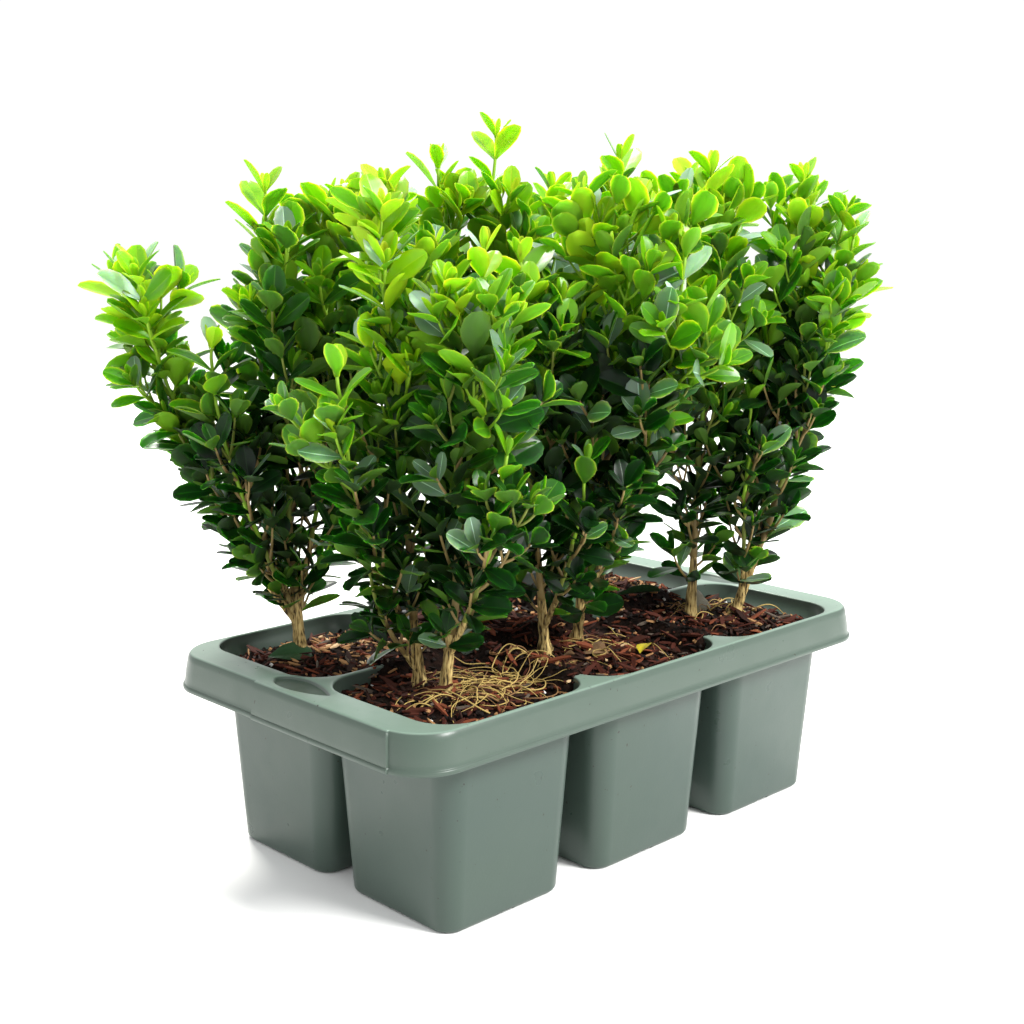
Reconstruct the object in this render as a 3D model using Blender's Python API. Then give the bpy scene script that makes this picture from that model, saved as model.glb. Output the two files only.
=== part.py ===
"""Boxwood shrubs in a moulded six-cell nursery tray.

Six young shrubs stand in the cells of one tray, and their crowns have grown together. Each has
one or two trunks. A shoot is one smooth curve from a trunk's foot, or from a trunk's side, to
its tip. Its lower part is a woody limb and the rest is the stem of a mass of foliage. The masses
share out the crown: a point belongs to the mass whose stem is nearest. Metres, +Z up. The
origin is under the middle of the whole object's box, and the tray stands on Z = 0.
"""

import math
import random

import bmesh
import bpy
import numpy as np
from mathutils import Vector
from mathutils.bvhtree import BVHTree

# Tray. X runs along its three columns and Y across its two rows.
COLUMNS = {"left": -1, "middle": 0, "right": 1}
ROWS = {"front": -1, "back": 1}
PITCH_X = 0.090
PITCH_Y = 0.0807
TRAY_HEIGHT = 0.0945
SKIRT_HEIGHT = 0.0169
RIM_HALF = (0.1519, 0.0884)  # outside of the skirt at its lower edge
RIM_TOP_HALF = (0.1501, 0.0863)  # outside of the skirt where the top edge starts to round
RIM_CORNER = 0.0208
RIM_ROUND = 0.0022
BEAD_OUT = 0.0007
BEAD_HEIGHT = 0.0026
WALL = 0.0014
CELL_FOOT = (0.0690, 0.0661)  # outside of a cell at its bottom
CELL_TOP = (0.0769, 0.0777)  # outside of a cell level with the skirt's lower edge
FOOT_CORNER = 0.0092
TOP_CORNER = 0.0113
FOOT_ROUND = 0.0026
MOUTH_CORNER = 0.018
MOUTH_OUTER = (0.1340, 0.0836)  # where the mouths end beside the rim
RIDGE = (0.0046, 0.0030)  # width of the ridges between mouths, across X and across Y
FLARE_HEIGHT = 0.0105
PANEL_SPAN = (-0.0705, 0.0200)  # raised panel on each short side, from and to along that side
PANEL_OUT = 0.0010
POCKET = (0.0070, 0.0185, 0.0026)  # half width, half length and depth of the dish between mouths
POCKET_FROM_RIM = 0.0105
POCKET_SLOPE = 0.003  # how much further out the dish's mouth lies than its floor
POCKET_STEPS = 10
FLOOR = 0.0027
CHANNEL = (0.0090, 0.0014)  # drain channels across the underside: width and height
CORNER_STEPS = 3
CUT_PAST = 0.001  # how far a cutter runs past what it cuts

# Root balls
SOIL_BELOW_RIM = 0.0105
SOIL_MOUND = 0.0050
SOIL_STEPS = 3
CLEARANCE = 0.0003

# Wood
TRUNK_RADIUS = (0.0029, 0.0019)
TRUNK_SIDES = 8
FLARE_RADIUS = 0.0018
FLARE_LENGTH = 0.009
BOUGH_RADIUS = (0.0017, 0.0012)
BOUGH_SIDES = 5
LIMB_RINGS = {"trunk": 6, "bough": 5}
STEM_STEPS = 12
STEM_SKIP = 3  # the stem's mesh takes one point in this many
STEM_RADIUS = (0.0013, 0.0009)
TWIG_RADIUS = (0.0008, 0.0007)
GREEN_SIDES = 3
TRUNK_SHARE = 0.15  # share of a leader's rise that is trunk
BOUGH_SHARE = 0.17  # share of a bough shoot's rise that is bough
TRUNK_BOW = 1.25
BOUGH_BOW = 1.7

# Leaves, larger than life and fewer
LEAF_LENGTH = (0.0340, 0.0310)  # low in the crown and at its top
LEAF_SHARES = (1.0, 0.82, 0.66)  # a leaf that has no room is tried again at these lengths
LEAF_ROLL = 0.4
LEAF_DROOP = -0.3  # the steepest way down for a leaf, as the Z of its direction
LEAF_WIDTH_SHARE = 0.64
LEAF_SIDES = ((0.50, 1.0), (0.84, 0.72))  # along the leaf, and the share of its width there
LEAF_THICKNESS = 0.0012
LEAF_ROOT = 0.00015
NODE_SPACING = 0.0188
FIRST_NODE = 0.4  # from the stem's foot, as a share of that spacing
NODE_TURN = 0.2  # radians more or less than a quarter turn from node to node
PAIR_SPREAD = (1.2, 0.75)  # radians from the stem, low in the crown and at its top
TIP_PAIRS = ((0.013, 0.42), (0.024, 0.95))  # how far under a stem's tip, and the spread there
SPREAD_VARIES = 0.15
TWIG_LENGTH = (0.034, 0.029)
OUTER_SHORTER = 0.5  # how much shorter a twig is that leans straight out of the crown
TWIG_SHARES = (1.0, 0.75, 0.5)
TWIG_TESTED = (0.2, 0.35, 0.5, 0.65, 0.8, 1)
TWIG_LEAN = (50, 72)  # degrees from the stem, low in the crown
TWIG_RISE = 20  # degrees nearer the stem at the crown's top
TWIG_PAIRS = ((0.55, 1.1), (1.0, 0.6))  # share of the twig's length, and the spread there
TWIG_PHASE = 0.4
TWIG_EVERY = 2
LEAF_APART = 0.0050
OWN_MARGIN = 0.0007
LIMB_MARGIN = 0.0012
LOWEST_LEAF = 0.004  # above the rim
CROWN_HEIGHT = 0.22
SEED = 11

# Each plant's trunks and boughs. A trunk is its foot (x, y) from the middle of its cell and the
# tip of its leader (x, y) from there, with the tip's height above the soil. A bough is the number
# of its trunk, the height where it leaves it, and its tip in the same way.
PLANTS = {
    ("back", "left"): {
        "trunks": [
            ((-0.012, 0.012), (-0.014, 0.028), 0.211),
        ],
        "boughs": [
            (0, 0.026, (-0.060, 0.058), 0.175),
            (0, 0.021, (-0.050, 0.021), 0.144),
            (0, 0.016, (-0.045, 0.050), 0.121),
            (0, 0.010, (-0.012, 0.037), 0.090),
            (0, 0.023, (0.018, 0.012), 0.207),
        ],
    },
    ("front", "left"): {
        "trunks": [
            ((-0.003, 0.003), (0.001, -0.018), 0.187),
            ((-0.002, 0.020), (-0.021, 0.018), 0.209),
        ],
        "boughs": [
            (1, 0.020, (-0.047, 0.016), 0.139),
            (0, 0.020, (-0.003, -0.034), 0.108),
            (1, 0.009, (-0.028, 0.021), 0.056),
        ],
    },
    ("front", "middle"): {
        "trunks": [
            ((-0.017, 0.017), (-0.035, 0.015), 0.182),
            ((0.006, 0.019), (-0.003, -0.010), 0.207),
        ],
        "boughs": [
            (1, 0.022, (0.012, -0.037), 0.184),
            (0, 0.014, (-0.024, -0.014), 0.095),
        ],
    },
    ("front", "right"): {
        "trunks": [
            ((0.010, -0.003), (0.043, -0.042), 0.191),
            ((-0.010, 0.009), (-0.013, 0.000), 0.220),
        ],
        "boughs": [
            (0, 0.020, (0.036, -0.017), 0.216),
            (0, 0.011, (-0.002, -0.018), 0.112),
        ],
    },
    ("back", "middle"): {
        "trunks": [
            ((0.000, 0.000), (0.008, -0.002), 0.238),
        ],
        "boughs": [
            (0, 0.026, (-0.015, 0.013), 0.223),
            (0, 0.021, (0.041, -0.009), 0.212),
            (0, 0.015, (0.005, 0.043), 0.180),
        ],
    },
    ("back", "right"): {
        "trunks": [
            ((0.000, 0.000), (0.005, -0.005), 0.229),
        ],
        "boughs": [
            (0, 0.024, (-0.011, 0.025), 0.209),
            (0, 0.017, (0.047, -0.018), 0.218),
        ],
    },
}

COLOURS = {
    "tray": ((0.20, 0.26, 0.24), 0.45),
    "soil": ((0.035, 0.018, 0.010), 0.95),
    "bark": ((0.24, 0.17, 0.075), 0.85),
    "foliage": ((0.075, 0.22, 0.02), 0.40),
}


def material(name):
    colour, roughness = COLOURS[name]
    made = bpy.data.materials.get(name)
    if made is None:
        made = bpy.data.materials.new(name)
        made.use_nodes = True
        shader = made.node_tree.nodes["Principled BSDF"]
        shader.inputs["Base Color"].default_value = (*colour, 1)
        shader.inputs["Roughness"].default_value = roughness
        shader.inputs["Metallic"].default_value = 0
    return made


def add_mesh(name, points, faces, finish):
    mesh = bpy.data.meshes.new(name)
    mesh.from_pydata([tuple(p) for p in points], [], faces)
    mesh.materials.append(material(finish))
    made = bpy.data.objects.new(name, mesh)
    bpy.context.scene.collection.objects.link(made)
    return made


def rounded_ring(middle, size, corner, z, steps=CORNER_STEPS):
    """Points round a rectangle with rounded corners, anticlockwise from its +X side."""
    points = []
    for quarter, (sx, sy) in enumerate(((1, 1), (-1, 1), (-1, -1), (1, -1))):
        centre_x = middle[0] + sx * (size[0] / 2 - corner)
        centre_y = middle[1] + sy * (size[1] / 2 - corner)
        for step in range(steps + 1):
            angle = math.radians(90 * (quarter + step / steps))
            points.append(
                (centre_x + corner * math.cos(angle), centre_y + corner * math.sin(angle), z)
            )
    return points


def loft_faces(count, rings):
    """Faces of a skin over rings of count points each, with a cap on both ends."""
    faces = [tuple(reversed(range(count)))]
    for ring in range(rings - 1):
        low = ring * count
        for k in range(count):
            following = (k + 1) % count
            faces.append((low + k, low + following, low + count + following, low + count + k))
    faces.append(tuple(range((rings - 1) * count, rings * count)))
    return faces


def loft(name, rings, finish):
    points = [p for ring in rings for p in ring]
    return add_mesh(name, points, loft_faces(len(rings[0]), len(rings)), finish)


def combine(target, others, operation, solver="EXACT"):
    """Joins or cuts the other objects into the target for good, and removes them."""
    group = bpy.data.collections.new(target.name + "_group")
    bpy.context.scene.collection.children.link(group)
    for other in others:
        bpy.context.scene.collection.objects.unlink(other)
        group.objects.link(other)
    boolean = target.modifiers.new(operation.title(), "BOOLEAN")
    boolean.operation = operation
    boolean.operand_type = "COLLECTION"
    boolean.collection = group
    boolean.solver = solver
    bpy.context.view_layer.update()
    graph = bpy.context.evaluated_depsgraph_get()
    joined = bpy.data.meshes.new_from_object(target.evaluated_get(graph))
    target.modifiers.clear()
    target.data = joined
    for other in list(group.objects):
        bpy.data.objects.remove(other)
    bpy.data.collections.remove(group)


def cell_middle(row, column):
    return (COLUMNS[column] * PITCH_X, ROWS[row] * PITCH_Y / 2)


def mouth(row, column):
    """The middle and size of a cell's opening at the rim."""
    x_side, y_side = COLUMNS[column], ROWS[row]
    low_x = (abs(x_side) - 0.5) * PITCH_X + RIDGE[0] / 2
    high_x = MOUTH_OUTER[0] if x_side else PITCH_X / 2 - RIDGE[0] / 2
    low_y = RIDGE[1] / 2
    high_y = MOUTH_OUTER[1]
    side = x_side or 1
    return (
        (side * (low_x + high_x) / 2, y_side * (low_y + high_y) / 2),
        (high_x - low_x, high_y - low_y),
    )


def cell_rings(row, column, inset, floor, reach):
    """Rings of a cell's outside, or of its inside when inset by the wall."""
    middle = cell_middle(row, column)
    mouth_middle, mouth_size = mouth(row, column)
    skirt_edge = TRAY_HEIGHT - SKIRT_HEIGHT
    flare_z = TRAY_HEIGHT - FLARE_HEIGHT

    def at(z):
        share = z / skirt_edge
        size = [foot + (top - foot) * share - 2 * inset for foot, top in zip(CELL_FOOT, CELL_TOP)]
        return size, FOOT_CORNER + (TOP_CORNER - FOOT_CORNER) * share - inset

    rings = []
    for lift, tuck in ((0, FOOT_ROUND), (FOOT_ROUND, 0)):
        size, corner = at(floor + lift)
        rings.append(
            rounded_ring(middle, [s - 2 * tuck for s in size], corner - tuck, floor + lift)
        )
    size, corner = at(flare_z)
    rings.append(rounded_ring(middle, size, corner, flare_z))
    grown = [s + 2 * WALL - 2 * inset for s in mouth_size]
    mouth_corner = MOUTH_CORNER + WALL - inset
    rings.append(rounded_ring(mouth_middle, grown, mouth_corner, TRAY_HEIGHT - WALL / 2))
    if reach:
        rings.append(rounded_ring(mouth_middle, grown, mouth_corner, TRAY_HEIGHT + reach))
    return rings


def rim_rings(inset, heights):
    """Rings of the skirt at (height, extra reach) pairs, following its slight taper."""
    rings = []
    for z, out in heights:
        share = (z - (TRAY_HEIGHT - SKIRT_HEIGHT)) / SKIRT_HEIGHT
        half = [
            low + (top - low) * share + out - inset for low, top in zip(RIM_HALF, RIM_TOP_HALF)
        ]
        rings.append(
            rounded_ring((0, 0), [2 * h for h in half], RIM_CORNER + out - inset, z, CORNER_STEPS + 1)
        )
    return rings


def panel_block(side):
    """The raised panel on one short side, from inside the skirt to just proud of it."""
    low = TRAY_HEIGHT - SKIRT_HEIGHT + BEAD_HEIGHT
    high = TRAY_HEIGHT - RIM_ROUND / 2
    span = sorted(-side * y for y in PANEL_SPAN)
    rings = []
    for z in (low, high):
        share = (z - low) / SKIRT_HEIGHT
        outer = RIM_HALF[0] + (RIM_TOP_HALF[0] - RIM_HALF[0]) * share + PANEL_OUT
        inner = RIM_TOP_HALF[0] - WALL
        ends = sorted((side * inner, side * outer))
        rings.append(
            [(ends[0], span[0], z), (ends[1], span[0], z), (ends[1], span[1], z), (ends[0], span[1], z)]
        )
    return loft(f"panel_{side}", rings, "tray")


def lens_ring(side, grow, z):
    """An oval beside the rim of a short side, long across the tray."""
    width, length = POCKET[0] + grow, POCKET[1] + grow
    middle = side * (RIM_TOP_HALF[0] - POCKET_FROM_RIM)
    ring = []
    for step in range(POCKET_STEPS):
        angle = 2 * math.pi * step / POCKET_STEPS
        ring.append((middle + width * math.cos(angle), length * math.sin(angle), z))
    return ring


def channel_cutters():
    """Long bars that cut the drain channels, one under each row and one under each column."""
    width, height = CHANNEL
    bars = []
    for row in ROWS:
        middle = (0, ROWS[row] * PITCH_Y / 2)
        bars.append((f"channel_{row}", middle, (4 * PITCH_X, width)))
    for column in COLUMNS:
        middle = (COLUMNS[column] * PITCH_X, 0)
        bars.append((f"channel_{column}", middle, (width, 4 * PITCH_Y)))
    cutters = []
    for name, (x, y), (across, along) in bars:
        rings = [
            [
                (x + sx * across / 2, y + sy * along / 2, z)
                for sx, sy in ((-1, -1), (1, -1), (1, 1), (-1, 1))
            ]
            for z in (-height, height)
        ]
        cutters.append(loft(name, rings, "tray"))
    return cutters


def make_tray():
    edge = TRAY_HEIGHT - SKIRT_HEIGHT
    tray = loft(
        "tray",
        rim_rings(
            0,
            [
                (edge, BEAD_OUT / 2),
                (edge + BEAD_HEIGHT / 2, BEAD_OUT),
                (edge + BEAD_HEIGHT, 0),
                (TRAY_HEIGHT - RIM_ROUND, 0),
                (TRAY_HEIGHT - 0.3 * RIM_ROUND, -0.3 * RIM_ROUND),
                (TRAY_HEIGHT, -RIM_ROUND),
            ],
        ),
        "tray",
    )
    underside = loft(
        "underside",
        rim_rings(WALL, [(edge - 0.002, 0), (TRAY_HEIGHT - WALL, -RIM_ROUND / 2)]),
        "tray",
    )
    combine(tray, [underside], "DIFFERENCE")
    added = [panel_block(side) for side in (-1, 1)]
    dish_z = TRAY_HEIGHT - POCKET[2]
    for side in (-1, 1):
        rings = [
            lens_ring(side, WALL - POCKET_SLOPE, dish_z - WALL),
            lens_ring(side, WALL, TRAY_HEIGHT - WALL / 2),
        ]
        added.append(loft(f"dish_{side}", rings, "tray"))
    for row in ROWS:
        for column in COLUMNS:
            rings = cell_rings(row, column, 0, 0, 0)
            added.append(loft(f"cell_{row}_{column}", rings, "tray"))
    combine(tray, added, "UNION")
    cut = []
    for row in ROWS:
        for column in COLUMNS:
            rings = cell_rings(row, column, WALL, FLOOR, CUT_PAST)
            cut.append(loft(f"inside_{row}_{column}", rings, "tray"))
    for side in (-1, 1):
        rings = [
            lens_ring(side, -POCKET_SLOPE, dish_z),
            lens_ring(side, CUT_PAST, TRAY_HEIGHT + CUT_PAST),
        ]
        cut.append(loft(f"dish_cut_{side}", rings, "tray"))
    combine(tray, cut, "DIFFERENCE")
    for bar in channel_cutters():
        combine(tray, [bar], "DIFFERENCE")
    return tray


def soil_height(middle, x, y):
    """The height of the soil, mounded towards the middle of a cell."""
    u = (x - middle[0]) / (CELL_TOP[0] / 2)
    v = (y - middle[1]) / (CELL_TOP[1] / 2)
    mound = SOIL_MOUND * max(0, 1 - u * u) * max(0, 1 - v * v)
    return TRAY_HEIGHT - SOIL_BELOW_RIM + mound


def make_root_ball(row, column):
    """The plug of soil that fills a cell, with a mounded top of rings that shrink inwards."""
    middle = cell_middle(row, column)
    name = f"root_ball_{row}_{column}"
    inset = WALL + CLEARANCE
    rings = cell_rings(row, column, inset, FLOOR + CLEARANCE, 0)[:2]
    top_z = TRAY_HEIGHT - SOIL_BELOW_RIM
    share = top_z / (TRAY_HEIGHT - SKIRT_HEIGHT)
    size = [foot + (top - foot) * share - 2 * inset for foot, top in zip(CELL_FOOT, CELL_TOP)]
    corner = FOOT_CORNER + (TOP_CORNER - FOOT_CORNER) * share - inset
    for step in range(SOIL_STEPS):
        shrink = 1 - step / SOIL_STEPS
        ring = rounded_ring(middle, [s * shrink for s in size], corner * shrink, top_z)
        rings.append([(x, y, soil_height(middle, x, y) if step else top_z) for x, y, _ in ring])
    return loft(name, rings, "soil")


def shoot_point(shoot, share):
    """A point on a shoot's curve: it leans out early and then rises, the more so the larger its bow."""
    start, tip = shoot["start"], shoot["tip"]
    out = 1 - max(0, 1 - share) ** shoot["bow"]
    return Vector(
        (
            start.x + (tip.x - start.x) * out,
            start.y + (tip.y - start.y) * out,
            start.z + (tip.z - start.z) * share,
        )
    )


def tube_rings(points, radii, sides, phase=0.0):
    """Rings round a run of points. Each lies square to the run, turned as little as possible."""
    rings = []
    side = None
    for k, point in enumerate(points):
        ahead = points[min(k + 1, len(points) - 1)] - points[max(k - 1, 0)]
        ahead.normalize()
        if side is None:
            side = ahead.orthogonal().normalized()
        side = (side - ahead * side.dot(ahead)).normalized()
        other = ahead.cross(side)
        ring = []
        for step in range(sides):
            angle = phase + 2 * math.pi * step / sides
            ring.append(point + radii[k] * (side * math.cos(angle) + other * math.sin(angle)))
        rings.append(ring)
    return rings


def ground_under(soil, x, y):
    """The highest point of the soil's mesh beneath a trunk's foot."""
    reach = TRUNK_RADIUS[0] + FLARE_RADIUS
    heights = []
    for radius in (0, reach):
        for step in range(TRUNK_SIDES):
            angle = 2 * math.pi * step / TRUNK_SIDES
            above = (x + radius * math.cos(angle), y + radius * math.sin(angle), 2 * TRAY_HEIGHT)
            heights.append(soil.ray_cast(Vector(above), Vector((0, 0, -1)))[0].z)
    return max(heights)


def plan_shoots(root_balls):
    """Every shoot with its limb's and its stem's place on the curve, trunks before their boughs."""
    shoots = []
    graph = bpy.context.evaluated_depsgraph_get()
    for (row, column), plant in PLANTS.items():
        middle = cell_middle(row, column)
        soil = BVHTree.FromObject(root_balls[row, column], graph)
        trunks = []
        for number, (foot, tip, rise) in enumerate(plant["trunks"], 1):
            x, y = middle[0] + foot[0], middle[1] + foot[1]
            ground = ground_under(soil, x, y)
            start = Vector((x, y, ground + CLEARANCE))
            end = Vector((middle[0] + tip[0], middle[1] + tip[1], ground + rise))
            trunk = {
                "kind": "trunk",
                "plant": f"{row}_{column}",
                "number": number,
                "start": start,
                "tip": end,
                "bow": TRUNK_BOW,
                "limb_share": TRUNK_SHARE,
                "radius": TRUNK_RADIUS,
            }
            trunks.append(trunk)
        shoots.extend(trunks)
        for number, (which, height, tip, rise) in enumerate(plant["boughs"], 1):
            trunk = trunks[which]
            ground = trunk["start"].z
            share = height / (trunk["tip"].z - trunk["start"].z)
            axis = shoot_point(trunk, share)
            end = Vector((middle[0] + tip[0], middle[1] + tip[1], ground + rise))
            outward = (end - axis).xy.normalized()
            trunk_radius = limb_radius(trunk, share / trunk["limb_share"])
            gap = trunk_radius + BOUGH_RADIUS[0] + CLEARANCE
            shoots.append(
                {
                    "kind": "bough",
                    "plant": f"{row}_{column}",
                    "number": number,
                    "start": Vector((axis.x + outward.x * gap, axis.y + outward.y * gap, axis.z)),
                    "tip": end,
                    "bow": BOUGH_BOW,
                    "limb_share": BOUGH_SHARE,
                    "radius": BOUGH_RADIUS,
                }
            )
    counts = {}
    for shoot in shoots:
        counts[shoot["plant"]] = counts.get(shoot["plant"], 0) + 1
        shoot["mass"] = f"foliage_{shoot['plant']}_{counts[shoot['plant']]}"
    return shoots


def limb_radius(shoot, along):
    """A limb's radius at a share of its own length, with a trunk's flare at its foot."""
    first, last = shoot["radius"]
    radius = first + (last - first) * along
    if shoot["kind"] == "trunk":
        up = along * shoot["limb_share"] * (shoot["tip"].z - shoot["start"].z)
        radius += FLARE_RADIUS * max(0, 1 - up / FLARE_LENGTH) ** 2
    return radius


def limb_points(shoot):
    """The run of points along a limb, closer together near a trunk's foot."""
    power = 1.5 if shoot["kind"] == "trunk" else 1
    rings = LIMB_RINGS[shoot["kind"]]
    shares = [(k / (rings - 1)) ** power for k in range(rings)]
    points = [shoot_point(shoot, s * shoot["limb_share"]) for s in shares]
    return points, [limb_radius(shoot, s) for s in shares]


def make_limb(shoot):
    points, radii = limb_points(shoot)
    trunk = shoot["kind"] == "trunk"
    rings = tube_rings(points, radii, TRUNK_SIDES if trunk else BOUGH_SIDES)
    if trunk:
        rings[0] = [Vector((p.x, p.y, points[0].z)) for p in rings[0]]
    made = loft(f"{shoot['kind']}_{shoot['plant']}_{shoot['number']}", rings, "bark")
    made.data.shade_smooth()
    made.data.set_sharp_from_angle(angle=math.radians(60))
    return made


class Lines:
    """Several runs of straight pieces, and how far points are from each run."""

    def __init__(self, runs):
        runs = [np.array([tuple(p) for p in run]) for run in runs]
        self.start = np.concatenate([run[:-1] for run in runs])
        self.step = np.concatenate([np.diff(run, axis=0) for run in runs])
        self.square = (self.step**2).sum(axis=1)
        self.first = np.cumsum([0] + [len(run) - 1 for run in runs[:-1]])

    def distances(self, points):
        """One row for each point, one column for each run."""
        offset = points[:, None] - self.start
        along = np.clip((offset * self.step).sum(axis=-1) / self.square, 0, 1)
        gaps = np.linalg.norm(offset - along[..., None] * self.step, axis=-1)
        return np.minimum.reduceat(gaps, self.first, axis=1)


def stem_line(shoot):
    """The run of points along a mass's stem, from the tip of its limb."""
    first = shoot["limb_share"]
    shares = [first + (1 - first) * k / STEM_STEPS for k in range(STEM_STEPS + 1)]
    return [shoot_point(shoot, share) for share in shares]


class Crown:
    """Which mass a point belongs to, and whether it is clear of the limbs."""

    def __init__(self, shoots):
        self.stems = Lines([stem_line(shoot) for shoot in shoots])
        self.limbs = Lines([limb_points(shoot)[0] for shoot in shoots])
        self.limb_radii = np.array([limb_radius(shoot, 0.5) for shoot in shoots])

    def allows(self, points, own):
        if points[:, 2].min() < TRAY_HEIGHT + LOWEST_LEAF:
            return False
        if (self.limbs.distances(points) < self.limb_radii + LIMB_MARGIN).any():
            return False
        gaps = self.stems.distances(points)
        mine = gaps[:, own].copy()
        gaps[:, own] = np.inf
        return bool((mine + OWN_MARGIN < gaps.min(axis=1)).all())


def leaf_points(root, ahead, face, length):
    """Root, tip, and two points on each side of a leaf, whose sides rise a little from its midrib."""
    across = ahead.cross(face).normalized()
    face = across.cross(ahead).normalized()
    width = length * LEAF_WIDTH_SHARE
    points = [root, root + ahead * length]
    for along, reach in LEAF_SIDES:
        middle = root + ahead * length * along + face * LEAF_THICKNESS * reach
        points.append(middle + across * width / 2 * reach)
        points.append(middle - across * width / 2 * reach)
    return points


LEAF_FACES = [(0, 2, 3), (2, 5, 3), (2, 4, 5), (4, 1, 5), (0, 1, 2), (2, 1, 4), (0, 3, 1), (3, 5, 1)]


def leaf_samples(points):
    """The leaf's corners and the points between them, for the tests of where it lies."""
    root, tip = points[:2]
    edges = [a.lerp(b, 0.5) for a, b in zip((root, root, *points[2:]), (*points[2:], tip, tip))]
    return [tip] + points[2:] + edges + [root.lerp(tip, share) for share in (0.3, 0.6, 0.85)]


class Mass:
    """One mass of foliage: a stem, its side twigs and the leaves that have room."""

    def __init__(self, shoot, own, crown):
        self.shoot = shoot
        self.own = own
        self.crown = crown
        self.random = random.Random(SEED * 1000 + own)
        self.leaves = []
        self.taken = np.empty((0, 3))
        self.twigs = []

    def level(self, point):
        """How high a point is in the crown, from 0 at the rim to 1 at the top."""
        return min(1, max(0, (point.z - TRAY_HEIGHT) / CROWN_HEIGHT))

    def has_room(self, points):
        """Whether points lie in the mass's own space and apart from its other leaves."""
        near = np.array([tuple(p) for p in points])
        if len(self.taken):
            gaps = np.linalg.norm(near[:, None] - self.taken[None], axis=-1)
            if gaps.min() < LEAF_APART:
                return False
        return self.crown.allows(near, self.own)

    def directions(self, axis, turn, spread):
        """Directions to try, out from a twig's axis: the nearest to the wanted turn and spread first."""
        side = axis.orthogonal().normalized()
        other = axis.cross(side)
        for narrower in (1.0, 0.72, 0.5):
            for aside in (0, 0.4, -0.4, 0.8, -0.8):
                out = side * math.cos(turn + aside) + other * math.sin(turn + aside)
                angle = spread * narrower
                yield (axis * math.cos(angle) + out * math.sin(angle)).normalized()

    def add_leaf(self, point, axis, turn, spread):
        """Adds a leaf where one fits. Its root is sunk in nearly to the twig's middle."""
        low, high = LEAF_LENGTH
        length = low + (high - low) * self.level(point)
        length *= self.random.uniform(0.9, 1.1)
        spread += self.random.uniform(-SPREAD_VARIES, SPREAD_VARIES)
        roll = self.random.uniform(-LEAF_ROLL, LEAF_ROLL)
        for share in LEAF_SHARES:
            for ahead in self.directions(axis, turn, spread):
                if ahead.z < LEAF_DROOP:
                    continue
                face = (axis - ahead * axis.dot(ahead)).normalized()
                face = face * math.cos(roll) + ahead.cross(face) * math.sin(roll)
                points = leaf_points(point + ahead * LEAF_ROOT, ahead, face, length * share)
                samples = leaf_samples(points)
                if self.has_room(samples):
                    self.taken = np.vstack([self.taken, [tuple(p) for p in samples]])
                    self.leaves.append(points)
                    return 1
        return 0

    def add_pair(self, point, axis, turn, spread):
        """Two opposite leaves on a twig."""
        return sum(self.add_leaf(point, axis, turn + half, spread) for half in (0, math.pi))

    def add_twig(self, point, axis, turn, high):
        """A side twig with a pair of leaves along it and a pair at its tip."""
        low, top = TWIG_LENGTH
        longest = (low + (top - low) * high) * self.random.uniform(0.8, 1.15)
        lean = math.radians(self.random.uniform(*TWIG_LEAN) - TWIG_RISE * high)
        for share in TWIG_SHARES:
            for ahead in self.directions(axis, turn, lean):
                outward = max(0, ahead.xy.dot(point.xy.normalized()))
                length = longest * share * (1 - OUTER_SHORTER * outward)
                run = [point + ahead * length * part for part in TWIG_TESTED]
                if not self.has_room(run):
                    continue
                before = len(self.leaves)
                for part, spread in TWIG_PAIRS:
                    turn += math.pi / 2
                    self.add_pair(point + ahead * length * part, ahead, turn, spread)
                if len(self.leaves) > before:
                    self.twigs.append((point, point + ahead * length))
                    return

    def grow(self):
        """Walks up the stem and gives each node two side twigs or a pair of leaves."""
        shoot = self.shoot
        first = shoot["limb_share"]
        length = (shoot["tip"] - shoot_point(shoot, first)).length
        nodes = max(3, round(length / NODE_SPACING))
        turn = self.random.uniform(0, math.pi)
        for node in range(nodes + 1):
            share = first + (1 - first) * (node + FIRST_NODE) / (nodes + FIRST_NODE)
            point = shoot_point(shoot, share)
            axis = shoot_point(shoot, min(1, share + 0.01)) - shoot_point(shoot, share - 0.02)
            axis.normalize()
            high = self.level(point)
            turn += math.pi / 2 + self.random.uniform(-NODE_TURN, NODE_TURN)
            if node == nodes:
                for below, spread in TIP_PAIRS:
                    self.add_pair(point - axis * below, axis, turn, spread)
                    turn += math.pi / 2
            elif node % TWIG_EVERY == 0 and node < nodes - 1:
                self.add_twig(point, axis, turn, high)
                self.add_twig(point, axis, turn + math.pi, high)
            else:
                spread = PAIR_SPREAD[0] + (PAIR_SPREAD[1] - PAIR_SPREAD[0]) * high
                self.add_pair(point, axis, turn, spread)

    def build(self):
        """Joins the stem, twigs and leaves into one closed mesh."""
        line = stem_line(self.shoot)[::STEM_SKIP]
        line[0] = line[0] + (line[1] - line[0]).normalized() * CLEARANCE
        radii = [
            STEM_RADIUS[0] + (STEM_RADIUS[1] - STEM_RADIUS[0]) * k / (len(line) - 1)
            for k in range(len(line))
        ]
        name = self.shoot["mass"]
        stem = loft(name, tube_rings(line, radii, GREEN_SIDES), "foliage")
        parts = []
        for number, (first, last) in enumerate(self.twigs):
            rings = tube_rings([first, last], TWIG_RADIUS, GREEN_SIDES, TWIG_PHASE)
            parts.append(loft(f"{name}_twig_{number}", rings, "foliage"))
        for number, points in enumerate(self.leaves):
            parts.append(add_mesh(f"{name}_leaf_{number}", points, LEAF_FACES, "foliage"))
        combine(stem, parts, "UNION", "MANIFOLD")
        keep_largest(stem.data)
        return stem


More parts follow.
